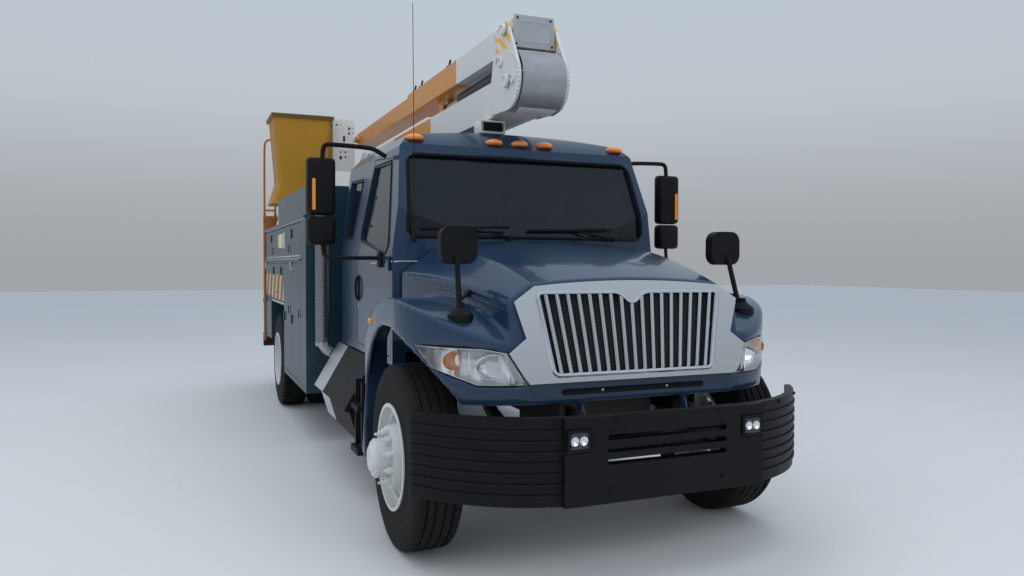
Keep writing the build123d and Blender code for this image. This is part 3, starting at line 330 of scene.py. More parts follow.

# %% [markdown]
# ## Metals, rubber and plastics
# One noise drives both the colour and the gloss of most of these, as dirt and wear do. The
# battery box has a lid of chequer plate, pressed by the bump alone. Its front part is painted
# black and matt: painted shade, for the shadowed space ahead of the box. The exhaust's guard
# is perforated: its holes are dark dots in a pattern that winds round the pipe.


# %% Metals
def grained(name, noise, low, high, gloss, gain, slot=None, **plain):
    """A finish whose colour and roughness follow one noise, which it keeps as its grain."""
    finish = Finish(name, slot, **plain)
    finish.grain = finish.noise(*noise)
    finish.set("Base Color", finish.mix(finish.grain, low, high))
    finish.set("Roughness", gloss + finish.grain * gain)
    return finish


chrome = Finish("chrome", Base_Color=(0.64, 0.67, 0.71), Metallic=1.0)
chrome.set("Roughness", 0.06 + chrome.noise(30, 4) * 0.05)
aluminium = grained("aluminium", (60, 6, 0.7), (0.52, 0.53, 0.55), (0.68, 0.69, 0.7),
                    0.32, 0.18, Metallic=1.0)
aluminium.bump(aluminium.grain, 0.05, 0.001)
steel = grained("steel", (45, 5, 0.6), (0.36, 0.36, 0.37), (0.6, 0.6, 0.61), 0.22, 0.2,
                Metallic=1.0)
iron = grained("cast_iron", (38, 5, 0.7), (0.04, 0.04, 0.04), (0.11, 0.1, 0.09), 0.6, 0.25,
               Metallic=0.6)
iron.bump(iron.grain, 0.3, 0.002)

# %% Chequer plate and the perforated guard
box_metal = Finish("box_metal", Specular_IOR_Level=0.3)
y, z = box_metal.place()[1:]
grain = box_metal.noise(60, 6, 0.7)
# step marks the box's front part, ahead of 2.17 m behind the front axle; it is painted black, matt
# and not metallic, as painted shade for the shadowed space there
step = y < aft(2.17)
diamond = (abs((y + z * 1.2).wave(0.034) - 0.5) < 0.13) * ((y - z * 1.2).wave(0.068) < 0.5)
alloy = box_metal.mix(grain, (0.62, 0.63, 0.65), (0.78, 0.79, 0.81))
box_metal.set("Base Color", box_metal.mix(step, alloy, (0.006, 0.006, 0.006)))
box_metal.set("Metallic", 1 - step)
box_metal.set("Roughness", 0.3 + grain * 0.2 + step * 0.2)
box_metal.bump(grain * 0.3 + diamond * ((z > 0.56) * (1 - step)), 0.35, 0.0015)

guard_metal = Finish("exhaust_guard", Metallic=1.0)
x, y, z = guard_metal.place()
turn = x.sum("ARCTAN2", y - aft(2.66), x + 1.11)
one_way, other_way = ((z * 33 + turn * k).wave(1.0) for k in (3.0, -3.0))
dot = (abs(one_way - 0.5) < 0.34) * (abs(other_way - 0.5) < 0.34) * (z < 2.2) * (z > 0.93)
guard_metal.set("Base Color", guard_metal.mix(dot, (0.45, 0.45, 0.46), (0.02, 0.02, 0.02)))
guard_metal.set("Roughness", 0.3 + dot * 0.5)
guard_metal.set("Metallic", 1 - dot)
guard_metal.bump(1 - dot, 0.6, 0.003)

# %% Rubber and plastics
tyre_rubber = grained("tyre_rubber", (14, 5, 0.65), (0.007, 0.007, 0.007), (0.02, 0.019, 0.018),
                      0.72, 0.2, "tyre", Specular_IOR_Level=0.2)
tyre_rubber.bump(tyre_rubber.noise(90, 4), 0.15, 0.002)
black_plastic = grained("black_plastic", (7, 4), (0.003, 0.003, 0.0035), (0.008, 0.008, 0.009),
                        0.38, 0.2, Specular_IOR_Level=0.18)
black_plastic.bump(black_plastic.noise(420, 2), 0.12, 0.0005)
cab_trim = grained("cab_trim", (60, 4, 0.6), (0.03, 0.033, 0.034), (0.06, 0.064, 0.062), 0.75, 0.1)
cab_trim.bump(cab_trim.noise(500, 2), 0.2, 0.0008)
bucket_plastic = grained("bucket_plastic", (3, 5, 0.6), (0.36, 0.175, 0.015),
                         (0.46, 0.24, 0.025), 0.36, 0.2, Specular_IOR_Level=0.3)
bucket_plastic.tint(bucket_plastic.place()[2] > 3.386, (0.13, 0.07, 0.015))
amber = Finish("amber_lens", "amber", Base_Color=(0.85, 0.26, 0.015), Roughness=0.15,
               Coat_Weight=0.6)
amber.bump(abs(amber.place()[0].wave(0.012) - 0.5), 0.25, 0.001)
glass = Finish("tinted_glass", "glass", Base_Color=(0.004, 0.009, 0.015), Roughness=0.03,
               Alpha=0.75)
lens = Finish("lamp_lens", "lamp_glass", Base_Color=(0.95, 0.96, 0.97), Roughness=0.03,
              Transmission_Weight=1.0, IOR=1.45)

# %% [markdown]
# ## Dressing the CAD nodes
# The record names a material slot for each CAD node. Most nodes take the finish that fills that
# slot. A few take one of their own, because they carry a mask that fits only them.

# %% Giving the CAD nodes their finishes
by_slot = {finish.slot: finish for finish in (
    cab_paint, body_paint, black_paint, frame_paint, white_paint, lower_paint, ladder_paint,
    bucket_plastic, chrome, aluminium, steel, tyre_rubber, glass, lens, amber, black_plastic,
    cab_trim, iron)}
by_node = {"upper_boom": upper_paint, "inner_boom": inner_paint, "battery_box": box_metal,
           "elbow": elbow_paint, "exhaust_stack": guard_metal}
slot_of = {entry["node"]: entry["material_slot"] for entry in frame["record"]["subparts"]}
for name, node in nodes.items():
    finish = by_node.get(name) or by_slot[slot_of[name]]
    node.data.materials.clear()
    node.data.materials.append(finish.material)
print("nodes with a finish of their own:", len(by_node))

# %% [markdown]
# ## Modelling by hand, in code
# Each new piece starts as a primitive, alone in edit mode, and is shaped with the same tools a
# person would click. `trace` draws an outline by extruding one point along it, `slab` gives
# that outline a thickness, `lathe` spins it, `inset` steps a face in or out, and `done`
# finishes a piece: bevel, shading, finish, and the CAD body that it rides on.


# %% Starting a piece
def clear():
    """Leave edit mode and select nothing."""
    if bpy.context.mode != "OBJECT":
        bpy.ops.object.mode_set(mode="OBJECT")
    bpy.ops.object.select_all(action="DESELECT")


def activate(piece):
    """Leave edit mode with this piece alone selected."""
    clear()
    piece.select_set(True)
    bpy.context.view_layer.objects.active = piece


def start(kind, name, **where):
    """One new primitive with its place in its mesh, all selected, in edit mode."""
    clear()
    getattr(bpy.ops.mesh, f"primitive_{kind}_add")(**where)
    piece = bpy.context.object
    piece.name = name
    bpy.ops.object.transform_apply(location=True, rotation=True, scale=True)
    bpy.ops.object.mode_set(mode="EDIT")
    bpy.ops.mesh.select_mode(type="VERT")
    return piece


def box(name, middle, size):
    return start("cube", name, size=1, location=middle, scale=size)


def ball(name, middle, size, segments=28, rings=14):
    """A ball stretched to its half size along each axis."""
    piece = start("uv_sphere", name, segments=segments, ring_count=rings, radius=1,
                  location=(0, 0, 0))
    bpy.ops.transform.resize(value=size)
    bpy.ops.transform.translate(value=middle)
    return piece


# %% Picking faces and pushing them
def pick(piece, test):
    """Select the faces whose middle and normal pass the test."""
    bpy.ops.mesh.select_mode(type="FACE")
    bpy.ops.mesh.select_all(action="DESELECT")
    mesh = bmesh.from_edit_mesh(piece.data)
    for face in mesh.faces:
        face.select_set(test(face.calc_center_median(), face.normal))
    bmesh.update_edit_mesh(piece.data)


def inset(piece, way, *steps):
    """Inset the faces that look one way, once for each (border, height)."""
    way = Vector(way)
    pick(piece, lambda middle, normal: normal.dot(way) > 0.9)
    for border, rise in steps:
        bpy.ops.mesh.inset(thickness=border, depth=rise)


def push(move):
    """Extrude what is selected along a vector."""
    bpy.ops.mesh.extrude_region_move(TRANSFORM_OT_translate={"value": tuple(move)})


# %% Outlines, slabs and turned pieces
def trace(name, points, fill=True):
    """A line of edges through the points, or the flat face inside them."""
    piece = start("plane", name, size=0.01, location=points[0])
    bpy.ops.mesh.merge(type="CENTER")
    for here, there in zip(points, points[1:]):
        push(Vector(there) - Vector(here))
    bpy.ops.mesh.select_all(action="SELECT")
    if fill:
        bpy.ops.mesh.edge_face_add()
    return piece


def slab(name, points, thickness):
    """A flat outline pushed along a vector into a closed solid."""
    piece = trace(name, points)
    push(thickness)
    bpy.ops.mesh.select_all(action="SELECT")
    bpy.ops.mesh.normals_make_consistent(inside=False)
    return piece


def lathe(name, points, centre, axis, steps):
    """A line of points spun right round an axis."""
    piece = trace(name, points, fill=False)
    bpy.ops.mesh.spin(steps=steps, angle=2 * math.pi, center=centre, axis=axis)
    bpy.ops.mesh.select_all(action="SELECT")
    bpy.ops.mesh.remove_doubles(threshold=0.00002)
    bpy.ops.mesh.normals_make_consistent(inside=False)
    return piece


def tube(name, points, radius, smooth=True, rounds=3):
    """A bent rod: a curve with a round section, made a mesh with closed ends."""
    curve = bpy.data.curves.new(name, "CURVE")
    curve.dimensions = "3D"
    curve.bevel_depth = radius
    curve.bevel_resolution = rounds
    curve.use_fill_caps = True
    run = curve.splines.new("NURBS" if smooth else "POLY")
    run.points.add(len(points) - 1)
    for place, point in zip(run.points, points):
        place.co = (*point, 1)
    run.use_endpoint_u = smooth
    run.order_u = 3
    run.resolution_u = 6
    piece = bpy.data.objects.new(name, curve)
    scene.collection.objects.link(piece)
    activate(piece)
    bpy.ops.object.convert(target="MESH")
    return bpy.context.object


# %% Finishing a piece
def modify(piece, kind, **settings):
    """Add one modifier, set it and apply it."""
    activate(piece)
    change = piece.modifiers.new("change", kind)
    for setting, value in settings.items():
        setattr(change, setting, value)
    bpy.ops.object.modifier_apply(modifier="change")


def done(piece, finish, body, bevel=0.0, smooth=35, slot=None):
    """Bevel, shade and dress a piece, and let it ride on its body."""
    activate(piece)
    if bevel:
        modify(piece, "BEVEL", width=bevel, segments=2, limit_method="ANGLE")
    bpy.ops.object.shade_smooth_by_angle(angle=math.radians(smooth))
    piece.data.materials.clear()
    piece.data.materials.append(finish.material)
    slot or finish.slot
    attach(piece, body)
    return piece


def rod(name, points, radius, finish, body, smooth=True, rounds=3):
    """A finished bent rod that is shaded round."""
    return done(tube(name, points, radius, smooth, rounds), finish, body, smooth=60)


def knob(name, centre, way, profile, steps, finish, body, smooth=35):
    """A finished turned piece; its profile is (radius, height) pairs, the height along way."""
    way = Vector(way)
    across = Vector(upward) if way.x else Vector((1, 0, 0))
    points = [centre + across * radius + way * height for radius, height in profile]
    piece = lathe(name, points, centre, [abs(v) for v in way], steps)
    return done(piece, finish, body, smooth=smooth)


def panel(name, middle, size, way, steps, finish, body, bevel, smooth=35):
    """A finished box whose face toward way is inset in steps."""
    piece = box(name, middle, size)
    inset(piece, way, *steps)
    return done(piece, finish, body, bevel, smooth)


# %% Repeating and joining
def twin(piece, name, body, matrix=Matrix.Scale(-1, 4, (1, 0, 0))):
    """A copy with its own mesh, moved by a matrix; by default, the truck's other side."""
    copy = piece.copy()
    copy.data = piece.data.copy()
    copy.name = name
    scene.collection.objects.link(copy)
    copy.data.transform(matrix)
    if matrix.determinant() < 0:
        copy.data.flip_normals()
    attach(copy, body)
    return copy


def merged(name, *pieces):
    """Several pieces of one body joined in one object."""
    clear()
    for piece in pieces:
        piece.select_set(True)
    bpy.context.view_layer.objects.active = pieces[0]
    bpy.ops.object.join()
    pieces[0].name = name
    return pieces[0]


def row(piece, name, body, matrices):
    """The piece once at each matrix, joined in one object; the piece itself goes away."""
    copies = [twin(piece, f"{name}_{k}", body, m) for k, m in enumerate(matrices)]
    bpy.data.objects.remove(piece)
    return merged(name, *copies)


print("helpers ready")

# %% [markdown]
# ## Tyres
# A truck tyre bulges a little at mid height, has a thin moulded ring near the rim, and straight
# grooves round its tread. Half of a section is drawn as (distance from the middle, radius), its
# mirror image is added, and the whole is spun. Faces of the tread are then pushed in, one in
# two, to make the small slots of a steering tyre, or the open blocks of a driven one.

# %% Section of a tyre
tread = [(0.0215, 0.525), (0.0235, 0.512), (0.0305, 0.512), (0.0325, 0.525), (0.067, 0.5245),
         (0.069, 0.511), (0.077, 0.511), (0.079, 0.524), (0.098, 0.523), (0.1125, 0.519)]
shoulder = [(0.1215, 0.512), (0.129, 0.498), (0.1345, 0.478), (0.139, 0.452), (0.1405, 0.425),
            (0.1395, 0.39), (0.1365, 0.362), (0.1385, 0.358), (0.1385, 0.352), (0.1355, 0.347),
            (0.1345, 0.328), (0.1385, 0.316), (0.1398, 0.302)]
half_section = tread + shoulder
section = [(-x, r) for x, r in reversed(half_section)] + half_section
tyre_steps = 90


def tyre(name, x, y, blocks):
    """One tyre, with slots (blocks False) or open blocks (True) in its tread."""
    piece = lathe(name, [at(x + across, y, axle_height + r) for across, r in section + section[:1]],
                  at(x, y, axle_height), (1, 0, 0), tyre_steps)
    step = 2 * math.pi / tyre_steps

    def slotted(middle, normal):
        across = abs(middle.x - x)
        away = math.hypot(middle.y - aft(y), middle.z - axle_height)
        turn = int((math.atan2(middle.z - axle_height, middle.y - aft(y)) + math.pi) / step)
        ribs = (0.035, 0.066, 0.08, 0.119) if blocks else (0.08, 0.1)
        rib = (ribs[0] < across < ribs[1]) or (blocks and ribs[2] < across < ribs[3])
        return away > 0.514 and rib and (turn + (across > 0.07) * (middle.x > x)) % 2 == 0

    pick(piece, slotted)
    bpy.ops.mesh.inset(thickness=0.0035 if blocks else 0.005, depth=-0.009 if blocks else -0.004,
                       use_individual=True)
    return piece


# %% The front tyres and the rear pairs
for side, hand in hands:
    front = done(tyre(f"steer_tyre_{hand}", side * 1.03, 0, False), tyre_rubber,
                 f"wheel_front_{hand}")
    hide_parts(f"tyre_front_{hand}")
    pair = [done(tyre(f"drive_tyre_{hand}_{k}", side * x, rear_axle, True), tyre_rubber,
                 f"wheels_rear_{hand}") for k, x in enumerate((1.075, 0.755))]
    pair = merged(f"drive_tyres_{hand}", *pair)
    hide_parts(f"tyres_rear_{hand}")
print("tyre faces:", len(front.data.polygons), "and", len(pair.data.polygons))

# %% [markdown]
# ## Finding the skin of the truck
# A seal, a crease or a lamp has to lie on the CAD solid that carries it. `touch` shoots a
# straight line at a node and gives the place where it meets the skin. `seen` does the same
# along the line of sight through a point of the picture, which is 1024 by 576.

# %% Places on the skin
skins = {}
picture_middle = (512, 286.54)
picture_focus = 798.85


def touch(node, start_at, way):
    """Where a straight line from a point first meets a CAD node."""
    if node not in skins:
        mesh = nodes[node].data
        skins[node] = BVHTree.FromPolygons([v.co for v in mesh.vertices],
                                           [p.vertices for p in mesh.polygons])
    place = skins[node].ray_cast(Vector(start_at), Vector(way))[0]
    if place is None:
        raise ValueError(f"{node} isn't met from {tuple(start_at)}")
    return place


def from_front(node, x, z):
    return touch(node, (x, -6, z), (0, 1, 0))


def from_side(node, side, distance, z):
    return touch(node, at(side * 2, distance, z), (-side, 0, 0))


def from_above(node, x, distance):
    return touch(node, at(x, distance, 3), (0, 0, -1))


def seen(node, across, down):
    """Where the line of sight through a point of the picture meets a node."""
    way = Vector(((across - picture_middle[0]) / picture_focus,
                  (picture_middle[1] - down) / picture_focus, -1))
    way = camera.rotation_euler.to_matrix() @ way
    return touch(node, camera.location, way.normalized())


def rounded(corners, reach, steps=4):
    """The outline with each corner drawn as a small curve."""
    points = []
    for k, corner in enumerate(corners):
        corner, last, following = (Vector(c) for c in (corner, corners[k - 1],
                                                       corners[(k + 1) % len(corners)]))
        first = corner + (last - corner).normalized() * reach
        second = corner + (following - corner).normalized() * reach
        for s in range(steps + 1):
            t = s / steps
            points.append(first * (1 - t) ** 2 + corner * 2 * t * (1 - t) + second * t * t)
    return points


def walked(points, step):
    """Points added along a closed outline, so that it can follow a curved skin."""
    path = []
    for here, there in zip(points, points[1:] + points[:1]):
        count = max(1, round((there - here).length / step))
        path += [here.lerp(there, k / count) for k in range(count)]
    return path


# %% [markdown]
# ## Wheel nuts and hub
# Ten nuts hold each wheel, on long studs. One nut is a six-sided cylinder: its outer end is
# inset and drawn out twice, for the nut's face and the stud, and it is copied round the hub.
# Small nuts close the flange of the rear axle, and a stepped cap each front hub.


# %% Rings of nuts, and caps
def nut_ring(name, x, y, way, body, circle=0.143, size=0.02, count=10):
    """Nuts on studs, round an axle along X; way is the side they point to, 1 or -1."""
    nut = start("cylinder", name + "_one", vertices=6, radius=size, depth=size * 1.5,
                location=at(x + way * size * 0.75, y + circle, axle_height),
                rotation=(0, math.pi / 2, 0))
    inset(nut, (way, 0, 0), (size * 0.12, size * 0.25), (size * 0.36, 0))
    push((way * size * 0.9, 0, 0))
    bpy.ops.mesh.inset(thickness=size * 0.15, depth=size * 0.12)
    nut = done(nut, white_paint, body, bevel=size * 0.06)
    centre = at(x, y, axle_height)
    turns = (Matrix.Rotation(2 * math.pi * (k + 0.5) / count, 4, "X") for k in range(count))
    return row(nut, name, body, [Matrix.Translation(centre) @ turn @ Matrix.Translation(-centre)
                                 for turn in turns])


cap_profile = [(0.0, 0.0), (0.02, 0.0), (0.03, 0.004), (0.066, 0.004), (0.072, 0.0),
               (0.078, -0.012), (0.098, -0.012), (0.1, -0.018), (0.1, -0.026)]
for side, hand in hands:
    rear = f"wheels_rear_{hand}"
    nut_ring(f"front_nuts_{hand}", side * 1.19, 0, side, f"wheel_front_{hand}")
    nut_ring(f"rear_nuts_{hand}", side * 0.915, rear_axle, side, rear)
    nut_ring(f"axle_bolts_{hand}", side * 1.085, rear_axle, side, rear, 0.082, 0.012, 8)
    knob(f"hub_cap_{hand}", at(side * 1.29, 0, axle_height), (side, 0, 0), cap_profile, 40,
         white_paint, f"wheel_front_{hand}")
print("nuts and caps on four wheels")

# %% [markdown]
# ## The grille
# On the real truck the chrome surround has soft, rounded edges. A copy of the CAD grille is
# merged, its flat faces are joined, and its edges are bevelled. A round bead runs up each bar,
# a thin rim goes round the opening, and a black screen with small square holes stands behind.

# %% Chrome surround and bars with soft edges
rake = math.radians(8.04)


def on_grille(x, up, out):
    """A place on the raked plane of the grille."""
    return Vector((x, aft(-0.6903) + up * math.sin(rake) - out * math.cos(rake),
                   1.037 + up * math.cos(rake) + out * math.sin(rake)))


def copied(name, node):
    """A copy of a CAD node with its flat faces joined."""
    piece = bpy.data.objects.new(name, nodes[node].data.copy())
    scene.collection.objects.link(piece)
    activate(piece)
    bpy.ops.object.mode_set(mode="EDIT")
    bpy.ops.mesh.select_all(action="SELECT")
    bpy.ops.mesh.remove_doubles(threshold=0.00005)
    bpy.ops.mesh.dissolve_limited(angle_limit=0.01)
    clear()
    return piece


surround = copied("grille_chrome", "grille")
modify(surround, "BEVEL", width=0.009, segments=4, limit_method="ANGLE")
done(surround, chrome, "hood", smooth=50)
modify(surround, "WEIGHTED_NORMAL", keep_sharp=True)
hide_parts("grille")
opening = rounded([on_grille(x, up, 0.024) for x, up in
                   ((0.487, 0.0), (0.567, 0.432), (0.077, 0.432), (0, 0.365), (-0.077, 0.432),
                    (-0.567, 0.432), (-0.487, 0.0))], 0.035)
foot = on_grille(0, 0, 0.024)
beads = [rod("grille_rim", [foot] + opening + [foot], 0.013, chrome, "hood", smooth=False)]
for k in range(17):
    share = (k - 8) / 8.5
    off = abs(share * 0.549)
    top = 0.427 if off > 0.062 else 0.375 + off * 0.8
    ends = [on_grille(share * 0.474, 0.016, 0.025),
            on_grille(share * (0.474 + 0.075 * top / 0.425), top, 0.025)]
    beads.append(rod(f"bead_{k}", ends, 0.0065, chrome, "hood", smooth=False))
merged("grille_beads", *beads)

# %% Screen behind the bars
screen_finish = Finish("grille_screen", "black_plastic", Roughness=0.55)
x, y, z = screen_finish.place()
hole = (x.wave(0.018) < 0.7) * (z.wave(0.018) < 0.7)
shade = screen_finish.mix(hole, (0.03, 0.03, 0.031), (0.002, 0.002, 0.002))
screen_finish.set("Base Color", shade)
screen_finish.bump(1 - hole, 0.6, 0.003)
corners = [on_grille(x, up, -0.036)
           for x, up in ((-0.5, 0.0), (0.5, 0.0), (0.575, 0.445), (-0.575, 0.445))]
screen = slab("grille_screen", corners, on_grille(0, 0, -0.046) - on_grille(0, 0, -0.036))
inset(screen, forward, (0.012, -0.004))
done(screen, screen_finish, "hood", bevel=0.002)
print("grille:", len(surround.data.polygons), "faces")

# %% [markdown]
# ## Headlamps
# A headlamp is a clear shell over a bright housing, with a fluted oval reflector and an amber
# turn lamp toward the outside. The CAD lamp is one thick body, so its front skin becomes the
# shell, and its back and sides become the housing. Both get a real thickness.

# %% Shell and housing
lamp_silver = Finish("lamp_silver", "chrome", Metallic=1.0, Base_Color=(0.86, 0.87, 0.88))
flute = abs(lamp_silver.place()[0].wave(0.009) - 0.5)
lamp_silver.set("Roughness", 0.12 + flute * 0.2)
lamp_silver.bump(flute, 0.12, 0.002)
housing_finish = Finish("lamp_housing", "chrome", Metallic=0.45)
shade = housing_finish.mix(housing_finish.noise(20), (0.72, 0.73, 0.74), (0.86, 0.87, 0.88))
housing_finish.set("Base Color", shade)
housing_finish.set("Roughness", 0.25 + housing_finish.noise(30) * 0.1)


def skin_of(name, node, keep, thickness):
    """Some faces of a CAD node as a thin closed sheet that grows inward."""
    piece = copied(name, node)
    activate(piece)
    bpy.ops.object.mode_set(mode="EDIT")
    pick(piece, lambda middle, normal: not keep(normal))
    bpy.ops.mesh.delete(type="FACE")
    modify(piece, "SOLIDIFY", thickness=thickness, offset=-1)
    return piece


lamp_glass = done(skin_of("headlamp_glass", "headlamps", lambda n: n.y < -0.03, 0.003),
                  lens, "hood", smooth=60)
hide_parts("headlamps")
done(skin_of("headlamp_housing", "headlamps", lambda n: n.y > -0.03, 0.0025),
     housing_finish, "hood", smooth=40)


# %% Reflectors
def bowl(name, x, z, wide, high, depth, finish):
    """A hollow oval bowl behind the shell, open to the front, on both sides of the truck."""
    centre = from_front("headlamps", x, z) + Vector((0, depth + 0.012, 0))
    piece = ball(name + "_right", centre, (wide, depth, high), 32, 16)
    bpy.ops.mesh.bisect(plane_co=centre, plane_no=(0, 1, 0), clear_inner=True)
    modify(piece, "SOLIDIFY", thickness=0.003, offset=1)
    twin(done(piece, finish, "hood", smooth=50), name + "_left", "hood")


bowl("main_reflector", -0.79, 1.087, 0.1, 0.062, 0.036, lamp_silver)
bowl("turn_lamp", -0.972, 1.118, 0.052, 0.046, 0.026, amber)
print("headlamps:", len(lamp_glass.data.polygons), "faces of glass")

# %% [markdown]
# ## Seals round the glass
# Black rubber hides the joint between glass and steel. Each bead is a line drawn a little
# outside its opening, dropped on the skin of the cab or the door, and given a round section.


# %% Seals
def seal(name, node, outline, toward, radius, body):
    """A rubber bead on a node's skin; toward is the way it is dropped."""
    toward = Vector(toward)
    path = [touch(node, p - toward * 1.5, toward) for p in walked(outline, 0.06)]
    return rod(name, path + path[:2], radius, black_plastic, body, smooth=False, rounds=2)


wide = ((-0.89, 1.795), (0.89, 1.795), (0.846, 2.356), (-0.846, 2.356))
outline = rounded([at(x, 0.7, z) for x, z in wide], 0.07)
seal("windshield_seal", "cab_shell", outline, (0, 1, 0), 0.013, "chassis")
windows = {"door": ((0.806, 1.74), (1.008, 2.33), (1.508, 2.34), (1.712, 1.85), (1.698, 1.79),
                    (0.875, 1.68)),
           "quarter": ((1.878, 2.282), (2.03, 1.82), (2.372, 1.82), (2.346, 2.302))}
for side, hand in hands:
    door = f"door_{hand}"
    for name, node, body in (("door", door, door), ("quarter", "cab_shell", "chassis")):
        outline = rounded([at(side * 1.2, y, z) for y, z in windows[name]], 0.03)
        seal(f"{name}_seal_{hand}", node, outline, (-side, 0, 0), 0.007, body)

# %% [markdown]
# ## Wipers
# An arm comes up from a cap on the cowl and holds a bow in its middle, and the bow holds a
# blade. The ends are found on the glass, so that the blade lies along it.


# %% Wipers
def wiper(name, pivot, tip, middle):
    """An arm from a pivot on the cowl to the middle of a blade on the glass."""
    bend = (pivot + middle) / 2 + Vector((0, -0.02, 0.012))
    arm = tube(name + "_arm", [pivot, bend, middle], 0.007)
    heel = middle * 2 - tip
    bow = tube(name + "_bow", [heel, middle + Vector((0, -0.022, 0.008)), tip], 0.005)
    near = Vector((0, -0.004, 0))
    far = Vector((0, -0.012, 0.002))
    blade = slab(name + "_blade", [heel + near, tip + near, tip + far, heel + far],
                 (0, 0.002, 0.014))
    cap = start("cylinder", name + "_cap", vertices=20, radius=0.016, depth=0.03, location=pivot)
    inset(cap, upward, (0.004, 0.006))
    parts = [done(p, black_plastic, "chassis", bevel=b)
             for p, b in ((arm, 0), (bow, 0), (blade, 0.001), (cap, 0.002))]
    return merged(name, *parts)


for name, foot, middle, tip in (("wiper_right", -0.2, -0.5, -0.8),
                                ("wiper_left", 0.6, 0.28, -0.05)):
    tip, middle = (from_front("cab_glazing", x, z) + Vector((0, -0.012, 0))
                   for x, z in ((tip, 1.84), (middle, 1.85)))
    wiper(name, at(foot, 0.585, 1.79), tip, middle)
print("seals and wipers done")

# %% [markdown]
# ## Lamps on the roof
# Five amber marker lamps sit along the front edge of the roof, and a white work light with a
# black face stands behind them. A marker is a ball flattened into an oval and cut just below
# the roof's skin. The work light starts as a cube whose edges are rounded.

# %% Marker lamps
markers = []
for k, x in enumerate((-0.775, -0.196, 0, 0.196, 0.775)):
    place = from_above("cab_shell", x, 0.895)
    lamp = ball(f"marker_{k}", place + Vector((0, 0.01, 0.004)), (0.064, 0.075, 0.03))
    bpy.ops.mesh.bisect(plane_co=place - Vector((0, 0, 0.012)), plane_no=upward,
                        use_fill=True, clear_inner=True)
    markers.append(done(lamp, amber, "chassis", smooth=50))
merged("marker_lamps", *markers)

# %% Work light
light = panel("work_light", at(-0.12, 1.18, 2.628), (0.2, 0.14, 0.1), forward,
              ((0.014, 0), (0.003, -0.012)), white_paint, "chassis", 0.034, 60)
panel("work_light_face", at(-0.12, 1.109, 2.628), (0.15, 0.014, 0.06), forward,
      ((0.01, 0.004), (0.003, -0.006)), black_plastic, "chassis", 0.003)
foot = knob("work_light_foot", at(-0.12, 1.18, 2.545), upward,
            [(0, 0), (0.055, 0), (0.05, 0.011), (0.03, 0.017), (0.03, 0.037), (0, 0.037)], 32,
            white_paint, "chassis")
light = merged("work_light", light, foot)
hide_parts("roof_lamps")
print("roof lamps at", [round(v, 3) for v in place])

# %% [markdown]
# ## Mirrors
# Each tall mirror is two boxes of black plastic with very round upright edges, held by an arm
# over the door and one below. The glass faces aft in a thin lip, and an amber strip faces
# forward on the outer side of the tall head. The masts on the fenders stand on rubber cones.

# %% Glass, heads, arms and cones
mirror_silver = Finish("mirror_silver", "chrome", Metallic=1.0, Base_Color=(0.8, 0.82, 0.83))
mirror_silver.set("Roughness", 0.02 + mirror_silver.noise(6) * 0.02)
square = ((-1, -1), (1, -1), (1, 1), (-1, 1))
arm_high = ((0.93, 2.36), (1.0, 2.402), (1.05, 2.416), (1.3, 2.424), (1.352, 2.42),
            (1.366, 2.38), (1.367, 2.32))
arm_low = ((0.99, 1.01, 1.655), (1.28, 1.035, 1.655), (1.352, 1.045, 1.66),
           (1.366, 1.07, 1.69), (1.367, 1.08, 1.76))
cone_profile = [(0.068, -0.03), (0.068, 0.012), (0.05, 0.03), (0.024, 0.05), (0.019, 0.075),
                (0.0, 0.075)]


def pane(name, middle, size, finish, body, depth=0.006, way=1, corner=0.02):
    """A thin plate with round corners, facing aft (way 1) or forward (way -1)."""
    outline = rounded([middle + Vector((a * size[0] / 2, 0, b * size[1] / 2)) for a, b in square],
                      corner)
    piece = slab(name, outline, (0, way * depth, 0))
    inset(piece, (0, way, 0), (min(size) * 0.05, depth * 0.4))
    return done(piece, finish, body)


def head(name, x, z, height, body):
    """A mirror housing: a box whose upright edges are very round, drawn in a little in front."""
    piece = box(name, at(x, 1.08, z), (0.2, 0.09, height))
    pick(piece, lambda middle, normal: normal.y < -0.9)
    bpy.ops.transform.resize(value=(0.9, 1, 0.96), center_override=at(x, 1.035, z))
    return done(piece, black_plastic, body, bevel=0.026, smooth=60)


for side, hand in hands:
    body = body_of(nodes[f"mirror_{hand}"])[0]
    whole = merged(
        f"mirror_heads_{hand}",
        head("head_high", side * 1.377, 2.137, 0.395, body),
        head("head_low", side * 1.377, 1.839, 0.196, body),
        rod("arm_high", [at(side * x, 1.08, z) for x, z in arm_high], 0.016, black_plastic, body),
        rod("arm_low", [at(side * x, y, z) for x, y, z in arm_low], 0.014, black_plastic, body),
        panel("arm_mount", at(side * 0.992, 1.01, 1.645), (0.016, 0.09, 0.11), (side, 0, 0),
              ((0.012, 0.006),), black_plastic, body, 0.003, 60))
    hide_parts(f"mirror_{hand}")
    panes = [pane(f"mirror_{hand}_{k}", at(side * 1.377, 1.126, z), size, mirror_silver, body)
             for k, (z, size) in enumerate(((2.137, (0.168, 0.35)), (1.837, (0.168, 0.165))))]
    merged(f"mirror_glass_{hand}", *panes)
    pane(f"mirror_marker_{hand}", at(side * 1.432, 1.0345, 2.08), (0.022, 0.21), amber, body,
         depth=0.007, way=-1, corner=0.006)
    pane(f"hood_mirror_glass_{hand}", at(side * 0.875, -0.2645, 1.717), (0.172, 0.17),
         mirror_silver, "hood", corner=0.05)
    knob(f"mast_cone_{hand}", from_above("hood", side * 0.91, -0.45), upward, cone_profile, 36,
         black_plastic, "hood")
    knob(f"brace_boss_{hand}", at(side * 0.78, -0.25, 1.455), upward,
         [(0.034, -0.02), (0.034, 0.004), (0.018, 0.022), (0.0, 0.022)], 28, black_plastic, "hood")
print("mirrors ride on", body)

# %% [markdown]
# ## Bumper lamps and bolts
# Two square lamps look forward through the bumper. Each is a black frame, a clear pane and two
# small bright cups. Button bolts hold the bumper's upper edge and its middle.

